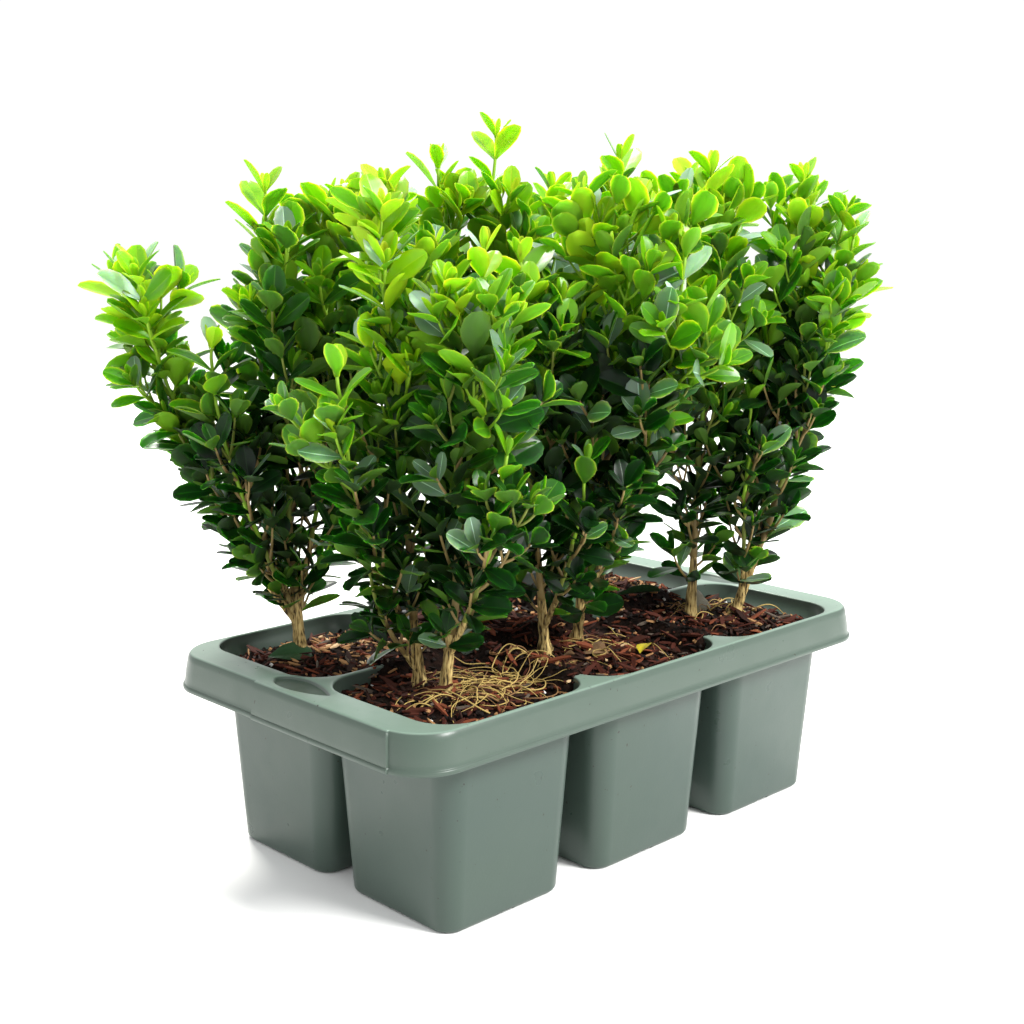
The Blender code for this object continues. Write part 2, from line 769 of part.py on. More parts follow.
def keep_largest(mesh):
    """Leaves only the shell of the largest volume: sealed hollows are filled and scraps dropped."""
    whole = bmesh.new()
    whole.from_mesh(mesh)
    bmesh.ops.triangulate(whole, faces=whole.faces[:])
    unseen = set(whole.faces)
    shells = []
    while unseen:
        todo = [unseen.pop()]
        shell = []
        while todo:
            face = todo.pop()
            shell.append(face)
            for edge in face.edges:
                for near in edge.link_faces:
                    if near in unseen:
                        unseen.remove(near)
                        todo.append(near)
        shells.append(shell)

    def volume(shell):
        return sum(
            face.verts[0].co.dot(face.verts[1].co.cross(face.verts[2].co)) / 6 for face in shell
        )

    largest = max(shells, key=volume)
    extra = [face for shell in shells if shell is not largest for face in shell]
    bmesh.ops.delete(whole, geom=extra, context="FACES")
    whole.to_mesh(mesh)
    whole.free()


def centre_all():
    """Moves every mesh so that the middle of the whole box lies over the origin."""
    made = [o for o in bpy.context.scene.collection.objects if o.type == "MESH"]
    points = np.array([tuple(v.co) for o in made for v in o.data.vertices])
    middle = (points.min(axis=0) + points.max(axis=0)) / 2
    for each in made:
        for vertex in each.data.vertices:
            vertex.co.x -= middle[0]
            vertex.co.y -= middle[1]
    return middle


def main():
    for old in list(bpy.data.objects):
        bpy.data.objects.remove(old)
    make_tray()
    root_balls = {(row, column): make_root_ball(row, column) for row in ROWS for column in COLUMNS}
    bpy.context.view_layer.update()
    shoots = plan_shoots(root_balls)
    for shoot in shoots:
        make_limb(shoot)
    crown = Crown(shoots)
    leaves = 0
    for own, shoot in enumerate(shoots):
        mass = Mass(shoot, own, crown)
        mass.grow()
        mass.build()
        leaves += len(mass.leaves)
    middle = centre_all()
    print(leaves, "leaves; the tray's middle is at", -middle[0], -middle[1])


main()
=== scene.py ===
import math
import random

import bmesh
import bpy
import numpy as np
from mathutils import Matrix, Vector, noise
from mathutils.geometry import delaunay_2d_cdt


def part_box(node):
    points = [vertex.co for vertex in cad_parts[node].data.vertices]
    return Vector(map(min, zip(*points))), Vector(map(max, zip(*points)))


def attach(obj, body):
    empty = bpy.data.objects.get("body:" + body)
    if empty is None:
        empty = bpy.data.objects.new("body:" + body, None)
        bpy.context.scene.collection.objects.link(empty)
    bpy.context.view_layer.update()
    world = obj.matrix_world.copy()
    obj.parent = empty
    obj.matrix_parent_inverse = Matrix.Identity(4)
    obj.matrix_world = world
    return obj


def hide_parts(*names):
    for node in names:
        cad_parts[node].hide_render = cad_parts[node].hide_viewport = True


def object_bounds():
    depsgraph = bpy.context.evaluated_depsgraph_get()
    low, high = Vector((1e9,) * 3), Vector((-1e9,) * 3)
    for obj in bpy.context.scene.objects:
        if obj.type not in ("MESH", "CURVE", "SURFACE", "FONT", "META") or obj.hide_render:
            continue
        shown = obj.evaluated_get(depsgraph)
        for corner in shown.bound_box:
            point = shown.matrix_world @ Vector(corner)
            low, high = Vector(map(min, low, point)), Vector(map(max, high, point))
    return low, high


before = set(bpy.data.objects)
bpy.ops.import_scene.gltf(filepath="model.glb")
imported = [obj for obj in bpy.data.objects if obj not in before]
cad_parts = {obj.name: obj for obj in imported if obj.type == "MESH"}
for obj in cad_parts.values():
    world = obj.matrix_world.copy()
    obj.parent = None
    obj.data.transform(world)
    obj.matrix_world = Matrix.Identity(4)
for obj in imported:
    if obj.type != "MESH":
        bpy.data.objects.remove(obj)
cadBox = [list(corner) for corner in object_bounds()]

trayLow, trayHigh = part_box("tray")
trayMiddle = Vector(((trayLow.x + trayHigh.x) / 2, (trayLow.y + trayHigh.y) / 2, 0))
upward = Vector((0, 0, 1))

# camera, floor and light

view = {
    "place": (-0.50382, -0.49885, 0.28981),  # from the tray's middle on the floor
    "azimuth": -44.34,
    "elevation": 11.13,
    "roll": 0.168,
    "lens": 52.986,
    "sensor": 36,
    "clipStart": 0.01,
}
studio = {
    "floor": (0.97, 0.97, 0.965),
    "floorRoughness": 0.9,
    "floorSize": 60.0,
    "sky": (0.99, 0.995, 1.0),
    "skyPower": 1.05,
    "aim": (0, 0, 0.15),  # where the lamps point
}
lamps = {
    "backSky": {"place": (0.4, 1.2, 1.7), "size": 0.7, "power": 50, "colour": (1.0, 0.99, 0.93)},
    "frontSky": {"place": (0.5, -1.7, 1.55), "size": 0.8, "power": 76, "colour": (1.0, 1.0, 0.98)},
}


def addCamera():
    lens = bpy.data.cameras.new("camera")
    lens.lens = view["lens"]
    lens.sensor_width = view["sensor"]
    lens.clip_start = view["clipStart"]
    camera = bpy.data.objects.new("camera", lens)
    turn = Matrix.Rotation(math.radians(view["azimuth"]), 4, "Z")
    tilt = Matrix.Rotation(math.radians(90 - view["elevation"]), 4, "X")
    roll = Matrix.Rotation(math.radians(view["roll"]), 4, "Z")
    camera.matrix_world = Matrix.Translation(trayMiddle + Vector(view["place"])) @ turn @ tilt @ roll
    bpy.context.scene.collection.objects.link(camera)
    bpy.context.scene.camera = camera


def addStudio():
    world = bpy.data.worlds.new("sky")
    world.use_nodes = True
    sky = world.node_tree.nodes["Background"]
    sky.inputs["Color"].default_value = (*studio["sky"], 1)
    sky.inputs["Strength"].default_value = studio["skyPower"]
    bpy.context.scene.world = world
    bpy.context.scene.view_settings.view_transform = "Standard"
    for name, lamp in lamps.items():
        light = bpy.data.lights.new(name, "AREA")
        light.shape = "DISK"
        light.size = lamp["size"]
        light.energy = lamp["power"]
        light.color = lamp["colour"]
        placed = bpy.data.objects.new(name, light)
        placed.location = lamp["place"]
        aim = Vector(studio["aim"]) - placed.location
        placed.rotation_euler = aim.to_track_quat("-Z", "Y").to_euler()
        bpy.context.scene.collection.objects.link(placed)
    half = studio["floorSize"] / 2
    corners = [(-half, -half, 0), (half, -half, 0), (half, half, 0), (-half, half, 0)]
    paint = plain("floorPaint", studio["floor"], studio["floorRoughness"])
    floor = newObject("floor", corners, [(0, 1, 2, 3)], [paint])


# materials and meshes


def plain(name, colour, roughness, specular=0.5, **more):
    made = bpy.data.materials.new(name)
    made.use_nodes = True
    shader = made.node_tree.nodes["Principled BSDF"]
    shader.inputs["Base Color"].default_value = (*colour, 1)
    shader.inputs["Roughness"].default_value = roughness
    shader.inputs["Specular IOR Level"].default_value = specular
    for socket, value in more.items():
        shader.inputs[socket.replace("_", " ")].default_value = value
    return made


def newObject(name, points, faces, materials, slots=None, smooth=False, sharp=None):
    mesh = bpy.data.meshes.new(name)
    if isinstance(points, np.ndarray):
        points = points.tolist()
    mesh.from_pydata([tuple(p) for p in points], [], faces)
    for material in materials:
        mesh.materials.append(material)
    if slots is not None:
        mesh.polygons.foreach_set("material_index", np.asarray(slots, np.int32))
    if smooth:
        mesh.shade_smooth()
        if sharp:
            mesh.set_sharp_from_angle(angle=math.radians(sharp))
    mesh.update()
    made = bpy.data.objects.new(name, mesh)
    bpy.context.scene.collection.objects.link(made)
    return made


class Heap:
    # points and faces gathered for one object, each face with its material's number

    def __init__(self):
        self.points = []
        self.faces = []
        self.slots = []

    def add(self, points, faces, slot=0):
        first = len(self.points)
        self.points.extend(points)
        self.faces.extend(tuple(first + k for k in face) for face in faces)
        if isinstance(slot, int):
            slot = [slot] * len(faces)
        self.slots.extend(slot)

    def build(self, name, materials, smooth=True, sharp=None):
        return newObject(name, self.points, self.faces, materials, self.slots, smooth, sharp)


def treeOf(material):
    tree = material.node_tree
    return tree, tree.links, tree.nodes["Principled BSDF"]


def addNoise(tree, scale, detail, coordinates, roughness=0.5):
    made = tree.nodes.new("ShaderNodeTexNoise")
    made.inputs["Scale"].default_value = scale
    made.inputs["Detail"].default_value = detail
    made.inputs["Roughness"].default_value = roughness
    tree.links.new(coordinates, made.inputs["Vector"])
    return made.outputs["Fac"]


def addRamp(tree, source, stops):
    ramp = tree.nodes.new("ShaderNodeValToRGB")
    points = ramp.color_ramp.elements
    while len(points) < len(stops):
        points.new(0.5)
    for point, (position, colour) in zip(points, stops):
        point.position = position
        point.color = (*colour, 1)
    tree.links.new(source, ramp.inputs["Fac"])
    return ramp.outputs["Color"]


def addMix(tree, factor, first, second, how="MIX"):
    mix = tree.nodes.new("ShaderNodeMix")
    mix.data_type = "RGBA"
    mix.blend_type = how
    for socket, value in ((mix.inputs[0], factor), (mix.inputs[6], first), (mix.inputs[7], second)):
        if isinstance(value, bpy.types.NodeSocket):
            tree.links.new(value, socket)
        elif isinstance(value, tuple):
            socket.default_value = (*value, 1)
        else:
            socket.default_value = value
    return mix.outputs[2]


def addMap(tree, source, fromLow, fromHigh, toLow, toHigh):
    made = tree.nodes.new("ShaderNodeMapRange")
    names = ("From Min", "From Max", "To Min", "To Max")
    for name, value in zip(names, (fromLow, fromHigh, toLow, toHigh)):
        made.inputs[name].default_value = value
    tree.links.new(source, made.inputs["Value"])
    return made.outputs["Result"]


def addBump(tree, height, distance, strength, under=None):
    bump = tree.nodes.new("ShaderNodeBump")
    bump.inputs["Distance"].default_value = distance
    bump.inputs["Strength"].default_value = strength
    tree.links.new(height, bump.inputs["Height"])
    if under is not None:
        tree.links.new(under, bump.inputs["Normal"])
    return bump.outputs["Normal"]


def objectPlace(tree, stretch=(1, 1, 1)):
    place = tree.nodes.new("ShaderNodeTexCoord")
    mapping = tree.nodes.new("ShaderNodeMapping")
    mapping.inputs["Scale"].default_value = stretch
    tree.links.new(place.outputs["Object"], mapping.inputs["Vector"])
    return mapping.outputs["Vector"]


def grained(name, colour, finish, **more):
    # one colour with a fine relief in it
    made = plain(name, colour, finish["roughness"], finish["specular"], **more)
    tree, links, shader = treeOf(made)
    relief = addNoise(tree, finish["grain"], finish["detail"], objectPlace(tree))
    links.new(addBump(tree, relief, finish["depth"], finish["strength"]), shader.inputs["Normal"])
    return made


# tray

tray = {
    "pitch": (0.090, 0.0807),
    "height": 0.0945,
    "skirt": 0.0169,
    "skirtLow": (0.1519, 0.0884),  # half the width and depth at the skirt's lower edge
    "skirtTop": (0.1501, 0.0863),
    "skirtBelly": 0.0003,
    "skirtSteps": 6,
    "rimCorner": 0.0208,
    "rimRound": 0.0015,
    "innerRound": 0.0012,
    "innerEdge": 0.0004,
    "mouthRound": 0.0010,
    "bead": (0.0007, 0.0026),  # how far it stands out, and its height
    "beadShare": 0.9,  # share of that height that is round
    "beadTuck": 0.4,  # share of the wall that its lower edge is tucked in
    "wall": 0.0014,
    "wallSteps": 4,
    "foot": (0.0690, 0.0661),
    "top": (0.0769, 0.0777),
    "footCorner": 0.0092,
    "topCorner": 0.0113,
    "footRound": 0.0026,
    "mouthCorner": 0.018,
    "mouthOuter": (0.1340, 0.0836),
    "ridge": (0.0046, 0.0030),
    "flare": 0.0105,
    "flareSteps": 5,
    "flareCurve": 0.9,
    "floor": 0.0027,
    "panelStart": 0.0200,  # the raised panel's step on a short side
    "panelEnd": 8.0,  # degrees round the corner where it ends
    "panelFade": 0.5,  # degrees on either side of that end
    "panelOut": 0.0011,
    "panelStep": 0.0003,
    "panelSteps": 6,
    "panelInside": 0.7,  # share of it that shows inside the skirt
    "panelBead": 0.8,  # share of it that shows on the bead
    "longSteps": 12,
    "pocket": (0.0070, 0.0185),
    "pocketBend": 0.0012,
    "pocketSquare": 0.25,
    "pocketSteps": 40,
    # from the dish's floor to the rim: how far outwards, and how deep
    "pocketWall": (
        (-0.0030, 0.0026),
        (-0.0022, 0.0024),
        (-0.0012, 0.001612),
        (-0.0004, 0.00065),
        (0.0002, 0.0002),
        (0.0008, 0.0),
    ),
    "pocketFromRim": 0.0105,
    "channel": (0.0090, 0.0014),
    "channelReach": (0.36, 0.32),
    "cornerSteps": 12,
    "roundSteps": 5,
    "weld": 1e-6,
    "sharpFrom": 38,
}
cells = [(row, column) for row in ("front", "back") for column in ("left", "middle", "right")]
columnSide = {"left": -1, "middle": 0, "right": 1}
rowSide = {"front": -1, "back": 1}


def cellMiddle(row, column):
    return Vector((columnSide[column] * tray["pitch"][0], rowSide[row] * tray["pitch"][1] / 2))


def mouthOf(row, column):
    xSide, ySide = columnSide[column], rowSide[row]
    lowX = (abs(xSide) - 0.5) * tray["pitch"][0] + tray["ridge"][0] / 2
    highX = tray["mouthOuter"][0] if xSide else tray["pitch"][0] / 2 - tray["ridge"][0] / 2
    lowY, highY = tray["ridge"][1] / 2, tray["mouthOuter"][1]
    side = xSide or 1
    middle = Vector((side * (lowX + highX) / 2, ySide * (lowY + highY) / 2))
    return middle, (highX - lowX, highY - lowY)


def roundedRing(middle, size, corner, z):
    steps = tray["cornerSteps"]
    ring = []
    for quarter, (sx, sy) in enumerate(((1, 1), (-1, 1), (-1, -1), (1, -1))):
        cx = middle[0] + sx * (size[0] / 2 - corner)
        cy = middle[1] + sy * (size[1] / 2 - corner)
        for step in range(steps + 1):
            angle = math.radians(90 * (quarter + step / steps))
            ring.append(Vector((cx + corner * math.cos(angle), cy + corner * math.sin(angle), z)))
    return ring


def cornerStops(quarter):
    # degrees round a corner of the skirt, with the end of a raised panel on two of them
    even = [(90 * k / tray["cornerSteps"], 0) for k in range(tray["cornerSteps"] + 1)]
    if quarter % 2:
        return even
    end, fade = tray["panelEnd"], tray["panelFade"]
    return [(0, 1), (end - fade, 1), (end + fade, 0)] + [stop for stop in even if stop[0] > end + 4 * fade]


def panelStops():
    # places along a short side, from the panel's step to the corner it runs into
    start, step, count = tray["panelStart"], tray["panelStep"], tray["panelSteps"]
    straight = start + tray["skirtLow"][1] - tray["rimCorner"]
    along = [(start - straight * k / count, 1) for k in range(1, count)]
    return [(start + step, 0), (start - step, 1)] + along


def skirtRing(half, corner, z, panelOut):
    # anticlockwise round the skirt, with a raised panel on both short sides
    ring = []
    for quarter, (sx, sy) in enumerate(((1, 1), (-1, 1), (-1, -1), (1, -1))):
        for degrees, out in cornerStops(quarter):
            angle = math.radians(90 * quarter + degrees)
            x = sx * (half[0] - corner) + (corner + out * panelOut) * math.cos(angle)
            y = sy * (half[1] - corner) + (corner + out * panelOut) * math.sin(angle)
            ring.append(Vector((x, y, z)))
        if quarter in (1, 3):
            ring.extend(Vector((sx * (half[0] + out * panelOut), -sx * y, z)) for y, out in panelStops())
        else:
            reach, count = half[0] - corner, tray["longSteps"]
            for k in range(1, count):
                ring.append(Vector((sx * reach * (1 - 2 * k / count), sy * half[1], z)))
    return ring


def skirtHalf(z, inset):
    share = (z - (tray["height"] - tray["skirt"])) / tray["skirt"]
    belly = tray["skirtBelly"] * math.sin(math.pi * min(1, max(0, share)))
    sides = zip(tray["skirtLow"], tray["skirtTop"])
    return [low + (top - low) * share - inset + belly for low, top in sides]


def skirtRings():
    # up inside the skirt's wall in reverse, round the bead, up the outside and over the rim
    top, wall = tray["height"], tray["wall"]
    edge = top - tray["skirt"]
    corner, count = tray["rimCorner"], tray["skirtSteps"]
    beadOut, beadHigh = tray["bead"]
    panelOut = tray["panelOut"]
    inner = tray["innerRound"]
    rings = []
    insides = ((top - wall, wall + inner), (top - wall - inner, wall), (edge + tray["innerEdge"], wall))
    for z, inset in insides:
        rings.append(skirtRing(skirtHalf(z, inset), corner - inset, z, panelOut * tray["panelInside"]))
    for k in range(count + 1):
        angle = math.pi * (k / count - 0.5)
        z = edge + beadHigh / 2 * (1 + math.sin(angle)) * tray["beadShare"]
        out = beadOut * math.cos(angle) - (wall * tray["beadTuck"] if k == 0 else 0)
        half = [h + out for h in tray["skirtLow"]]
        rings.append(skirtRing(half, corner + out, z, panelOut * tray["panelBead"]))
    for k in range(count + 1):
        z = edge + beadHigh + (top - tray["rimRound"] - edge - beadHigh) * k / count
        rings.append(skirtRing(skirtHalf(z, 0), corner, z, panelOut))
    for inset, drop in quarterRound(tray["rimRound"])[1:]:
        half = [h - inset for h in tray["skirtTop"]]
        rings.append(skirtRing(half, corner - inset, top - drop, panelOut))
    return rings


def quarterRound(radius):
    # pairs of (inset from the wall, drop from the top) from the wall up to the flat
    steps = tray["roundSteps"]
    angles = [math.pi / 2 * k / steps for k in range(steps + 1)]
    return [(radius * (1 - math.cos(a)), radius * (1 - math.sin(a))) for a in angles]


def cellSize(z, inset):
    share = z / (tray["height"] - tray["skirt"])
    size = [foot + (top - foot) * share - 2 * inset for foot, top in zip(tray["foot"], tray["top"])]
    return size, tray["footCorner"] + (tray["topCorner"] - tray["footCorner"]) * share - inset


def cellRings(row, column, inset, floor):
    # a cell's wall from its floor up to where it starts to flare out to its mouth
    middle = cellMiddle(row, column)
    rings = []
    for out, drop in reversed(quarterRound(tray["footRound"])):
        z = floor + drop
        size, corner = cellSize(z, inset + out)
        rings.append(roundedRing(middle, size, corner, z))
    flareZ = tray["height"] - tray["flare"]
    for k in range(1, tray["wallSteps"] + 1):
        z = floor + tray["footRound"] + (flareZ - floor - tray["footRound"]) * k / tray["wallSteps"]
        size, corner = cellSize(z, inset)
        rings.append(roundedRing(middle, size, corner, z))
    return rings


def mixRings(first, second, share, z):
    return [Vector((*a.lerp(b, share).xy, z)) for a, b in zip(first, second)]


def flareShare(up):
    # how far out a cell's wall is between its flare and its mouth
    return math.sin(math.pi / 2 * up) ** tray["flareCurve"]


def mouthRings(row, column, low, inset):
    # from the cell's wall out to the mouth, steeper near the top
    middle, size = mouthOf(row, column)
    grown = [s - 2 * inset for s in size]
    top = tray["height"] - tray["mouthRound"] + inset
    outer = roundedRing(middle, grown, tray["mouthCorner"] - inset, top)
    z0 = low[0].z
    count = tray["flareSteps"]
    rings = []
    for k in range(1, count + 1):
        rings.append(mixRings(low, outer, flareShare(k / count), z0 + (top - z0) * k / count))
    return rings


def pocketRing(side, grow, z):
    width, length = tray["pocket"]
    middle = side * (tray["skirtTop"][0] - tray["pocketFromRim"])
    count = tray["pocketSteps"]
    ring = []
    for k in range(count):
        angle = 2 * math.pi * k / count
        bend = tray["pocketBend"] * math.sin(2 * angle)
        square = abs(math.cos(angle)) ** tray["pocketSquare"]
        x = middle + (width + grow) * math.cos(angle) * square + bend
        ring.append(Vector((x, (length + grow) * math.sin(angle), z)))
    return ring


def joinRings(heap, rings, flip=False, closed=None):
    first = len(heap.points)
    count = len(rings[0])
    for ring in rings:
        heap.points.extend(ring)
    for k in range(len(rings) - 1):
        for j in range(count):
            a, b = first + k * count + j, first + k * count + (j + 1) % count
            face = (a, b, b + count, a + count)
            heap.faces.append(face[::-1] if flip else face)
            heap.slots.append(0)
    if closed is not None:
        at = first + (len(rings) - 1) * count if closed else first
        face = tuple(range(at, at + count))
        heap.faces.append(face if closed != flip else face[::-1])
        heap.slots.append(0)


def inside(point, ring):
    hits = 0
    for a, b in zip(ring, ring[1:] + ring[:1]):
        if (a.y > point.y) != (b.y > point.y):
            if point.x < (b.x - a.x) * (point.y - a.y) / (b.y - a.y) + a.x:
                hits += 1
    return hits % 2 == 1


def addSheet(heap, outer, holes, z, flip):
    # a flat sheet between an outline and the holes in it
    points, edges = [], []
    for ring in [outer] + holes:
        first = len(points)
        points.extend(p.xy for p in ring)
        edges.extend((first + k, first + (k + 1) % len(ring)) for k in range(len(ring)))
    made, _, faces, *_ = delaunay_2d_cdt(points, edges, [], 1, 1e-7)
    kept = []
    for face in faces:
        centre = sum((made[k] for k in face), Vector((0, 0))) / len(face)
        if not any(inside(centre, hole) for hole in holes) and inside(centre, outer):
            kept.append(tuple(face[::-1]) if flip else tuple(face))
    heap.add([Vector((p.x, p.y, z)) for p in made], kept)


def makeTray():
    heap = Heap()
    top, wall = tray["height"], tray["wall"]
    rings = skirtRings()
    joinRings(heap, rings, flip=True)
    topRing, underRing = rings[-1], rings[0]
    topHoles, underHoles = [], []
    for row, column in cells:
        walls = cellRings(row, column, wall, tray["floor"])
        walls += mouthRings(row, column, walls[-1], 0)
        middle, size = mouthOf(row, column)
        for inset, drop in quarterRound(tray["mouthRound"])[1:]:
            grown = [s + 2 * inset for s in size]
            walls.append(roundedRing(middle, grown, tray["mouthCorner"] + inset, top - drop))
        joinRings(heap, walls, flip=True, closed=False)
        topHoles.append(walls[-1])
        outside = cellRings(row, column, 0, 0)
        outside += mouthRings(row, column, outside[-1], -wall)[:3]
        outside.append([Vector((p.x, p.y, top - wall)) for p in outside[-1]])
        joinRings(heap, outside, closed=False)
        underHoles.append(outside[-1])
    for side in (-1, 1):
        rings = [pocketRing(side, grow, top - drop) for grow, drop in tray["pocketWall"]]
        joinRings(heap, rings, flip=True, closed=False)
        topHoles.append(rings[-1])
    addSheet(heap, topRing, topHoles, top, False)
    addSheet(heap, underRing, underHoles, top - wall, True)
    heap.points = [Vector(p) + trayMiddle for p in heap.points]
    made = heap.build("traySkin", [trayPlastic()])
    whole = bmesh.new()
    whole.from_mesh(made.data)
    bmesh.ops.remove_doubles(whole, verts=whole.verts[:], dist=tray["weld"])
    whole.to_mesh(made.data)
    whole.free()
    cutChannels(made)
    made.data.shade_smooth()
    made.data.set_sharp_from_angle(angle=math.radians(tray["sharpFrom"]))
    return made


def cutChannels(made):
    # drain channels across the underside, one under each row and each column of cells
    width, height = tray["channel"]
    reachX, reachY = tray["channelReach"]
    bars = [((0, rowSide[row] * tray["pitch"][1] / 2), (reachX, width)) for row in rowSide]
    bars += [((columnSide[column] * tray["pitch"][0], 0), (width, reachY)) for column in columnSide]
    signs = ((-1, -1), (1, -1), (1, 1), (-1, 1))
    faces = [(3, 2, 1, 0), (4, 5, 6, 7), (0, 1, 5, 4), (1, 2, 6, 5), (2, 3, 7, 6), (3, 0, 4, 7)]
    for k, ((x, y), (across, along)) in enumerate(bars):
        points = []
        for z in (-height, height):
            corners = [Vector((sx * across / 2, sy * along / 2, z)) for sx, sy in signs]
            points.extend(corner + Vector((x, y, 0)) + trayMiddle for corner in corners)
        bar = newObject(f"channelBar{k}", points, faces, [made.data.materials[0]])
        cut = made.modifiers.new("channel", "BOOLEAN")
        cut.object = bar
        cut.operation = "DIFFERENCE"
        cut.solver = "EXACT"
        bpy.context.view_layer.update()
        mesh = bpy.data.meshes.new_from_object(made.evaluated_get(bpy.context.evaluated_depsgraph_get()))
        made.modifiers.clear()
        made.data = mesh
        bpy.data.objects.remove(bar)


plastic = {
    "sage": (0.053, 0.078, 0.063),
    "cool": (0.049, 0.073, 0.063),
    "mint": (0.060, 0.087, 0.069),  # the rim
    "pale": (0.205, 0.285, 0.232),  # the rim's flat top: a painted sky reflection, lighter than the plastic itself
    "dust": (0.030, 0.030, 0.024),
    "specular": 0.36,
    "roughness": (0.27, 0.42),
    "coolShare": 0.6,
    "rimFrom": (0.076, 0.079),  # heights over which the rim's green takes over
    "skyGlintFrom": (0.0007, 0.0001),  # depths under the top over which the painted sky reflection on the flat takes over
    # scale and detail of each pattern
    "clouds": (14, 3),
    "specks": (420, 2),
    "wear": (60, 4),
    "wave": (38, 2),
    "grain": (900, 2),
    "speckFrom": (0.735, 0.76),
    # depth and strength of the two reliefs
    "waveBump": (0.0008, 0.30),
    "grainBump": (0.00008, 0.35),
}


def trayPlastic():
    made = plain("sagePlastic", plastic["sage"], plastic["roughness"][1], plastic["specular"])
    tree, links, shader = treeOf(made)
    place = objectPlace(tree)
    split = tree.nodes.new("ShaderNodeSeparateXYZ")
    links.new(place, split.inputs["Vector"])
    height = split.outputs["Z"]
    clouds = addNoise(tree, *plastic["clouds"], place)
    coolShare = addMap(tree, clouds, 0.35, 0.65, 0, plastic["coolShare"])
    body = addMix(tree, coolShare, plastic["sage"], plastic["cool"])
    body = addMix(tree, addMap(tree, height, *plastic["rimFrom"], 0, 1), body, plastic["mint"])
    # painted highlight: the rim's flat top is lightened to stand in for the sky it reflects
    skyGlintFrom = [tray["height"] - depth for depth in plastic["skyGlintFrom"]]
    body = addMix(tree, addMap(tree, height, *skyGlintFrom, 0, 1), body, plastic["pale"])
    specks = addMap(tree, addNoise(tree, *plastic["specks"], place), *plastic["speckFrom"], 0, 1)
    links.new(addMix(tree, specks, body, plastic["dust"]), shader.inputs["Base Color"])
    wear = addNoise(tree, *plastic["wear"], place)
    links.new(addMap(tree, wear, 0.3, 0.7, *plastic["roughness"]), shader.inputs["Roughness"])
    wave = addBump(tree, addNoise(tree, *plastic["wave"], place), *plastic["waveBump"])
    grain = addNoise(tree, *plastic["grain"], place)
    links.new(addBump(tree, grain, *plastic["grainBump"], wave), shader.inputs["Normal"])
    return made


# soil, bark mulch and litter

soil = {
    "belowRim": 0.0085,
    "mound": 0.0040,
    "ridgeReach": 0.0085,
    "rings": 20,
    "rough": 0.0011,
    "crest": 0.0013,  # mulch over the ridges
    "overRidge": 0.0004,
    # distances from the rim over which a ridge gets buried, along the long ridge and the short ones
    "bareRidge": ((0.020, 0.044), (0.006, 0.016)),
    "clear": 0.0003,
    "lumps": 260,
}
bed = {
    "half": (0.128, 0.078),
    "cell": 0.0017,
    "from": 0.2,  # it starts where the soil has climbed this share of a ridge
    "full": 0.5,
    "sunk": 0.0016,
    "rougher": 1.3,
}
soilLooks = {
    "wet": (0.0030, 0.0017, 0.0013),
    "dry": (0.018, 0.008, 0.005),
    "roughness": 0.95,
    "specular": 0.1,
    "patches": (330, 4),
    "grain": (520, 5),
    "bump": (0.0012, 0.9),
}
chips = {
    "seed": 5,
    "count": 2300,
    "basin": (0.1295, 0.0795, 0.015),  # half the width and depth of the planted area, and its corner
    "length": {"red": (0.005, 0.016), "tan": (0.003, 0.009), "dark": (0.003, 0.010)},
    "lengthVaries": (0.6, 1.1),
    "width": (0.10, 0.30),
    "leastWidth": 0.0006,
    "thick": (0.0005, 0.0012),
    "tilt": 14,
    "mostTilt": 18,
    "roll": 0.35,
    "mostStep": 0.003,  # a chip lies where the ground under its ends differs less than this
    "lift": (0.0001, 0.0012),
    "tiltLift": 0.35,
    # tan wood lies in the back cells, over these stretches along X, and fine dark stuff at the right end
    "tanBehind": 0.012,
    "tanStretches": ((-0.104, -0.045), (0.020, 0.140)),
    "tanShare": (0.62, 0.06),  # there, and elsewhere
    "darkRightOf": 0.085,
    "darkShare": (0.55, 0.22),
    "kinds": {
        "tan": ("tanWood", "tanWood", "paleWood", "rustBark"),
        "dark": ("darkBark", "brownBark", "greyBark", "tanWood"),
        "red": ("redBark", "redBark", "rustBark", "brownBark"),
    },
}
crumbs = {
    "count": 3200,
    "fromEdge": 0.0006,
    "size": (0.0008, 0.0026),
    "width": 0.8,
    "thick": 0.7,
    "rise": 0.3,
    "tints": ("darkBark", "darkBark", "brownBark", "redBark"),
    "tanShare": 0.3,
    "whiteShare": 0.012,
}
shard = {
    "stations": ((-0.5, 0.25), (-0.22, 0.9), (0.18, 1.0), (0.5, 0.3)),  # along it, and its width there
    "bend": 0.12,
    "ragged": (0.7, 1.15),
    "uneven": (0.7, 1.2),
    "points": 16,
}
chipFinish = {
    "roughness": 0.8,
    "specular": 0.2,
    "grain": 1400,
    "detail": 3,
    "depth": 0.0004,
    "strength": 0.6,
}
chipTints = {
    "redBark": (0.055, 0.012, 0.006),
    "rustBark": (0.165, 0.043, 0.018),
    "brownBark": (0.024, 0.008, 0.005),
    "darkBark": (0.006, 0.003, 0.002),
    "tanWood": (0.36, 0.190, 0.080),
    "paleWood": (0.62, 0.43, 0.24),
    "greyBark": (0.11, 0.085, 0.065),
    "perlite": (0.80, 0.79, 0.76),
}


def smoothStep(low, high, value):
    share = min(1, max(0, (value - low) / (high - low)))
    return share * share * (3 - 2 * share)


def ridgeClimb(x, y):
    # 1 on a buried ridge, 0 away from the ridges and where one shows beside the rim
    half = tray["pitch"][0] / 2
    longBare, shortBare = soil["bareRidge"]
    onLong = smoothStep(*longBare, tray["mouthOuter"][0] - abs(x))
    onShort = smoothStep(*shortBare, tray["mouthOuter"][1] - abs(y))
    climbs = [math.exp(-((abs(y) / soil["ridgeReach"]) ** 2)) * onLong]
    climbs.append(math.exp(-(((abs(x) - half) / soil["ridgeReach"]) ** 2)) * onShort)
    return max(climbs)


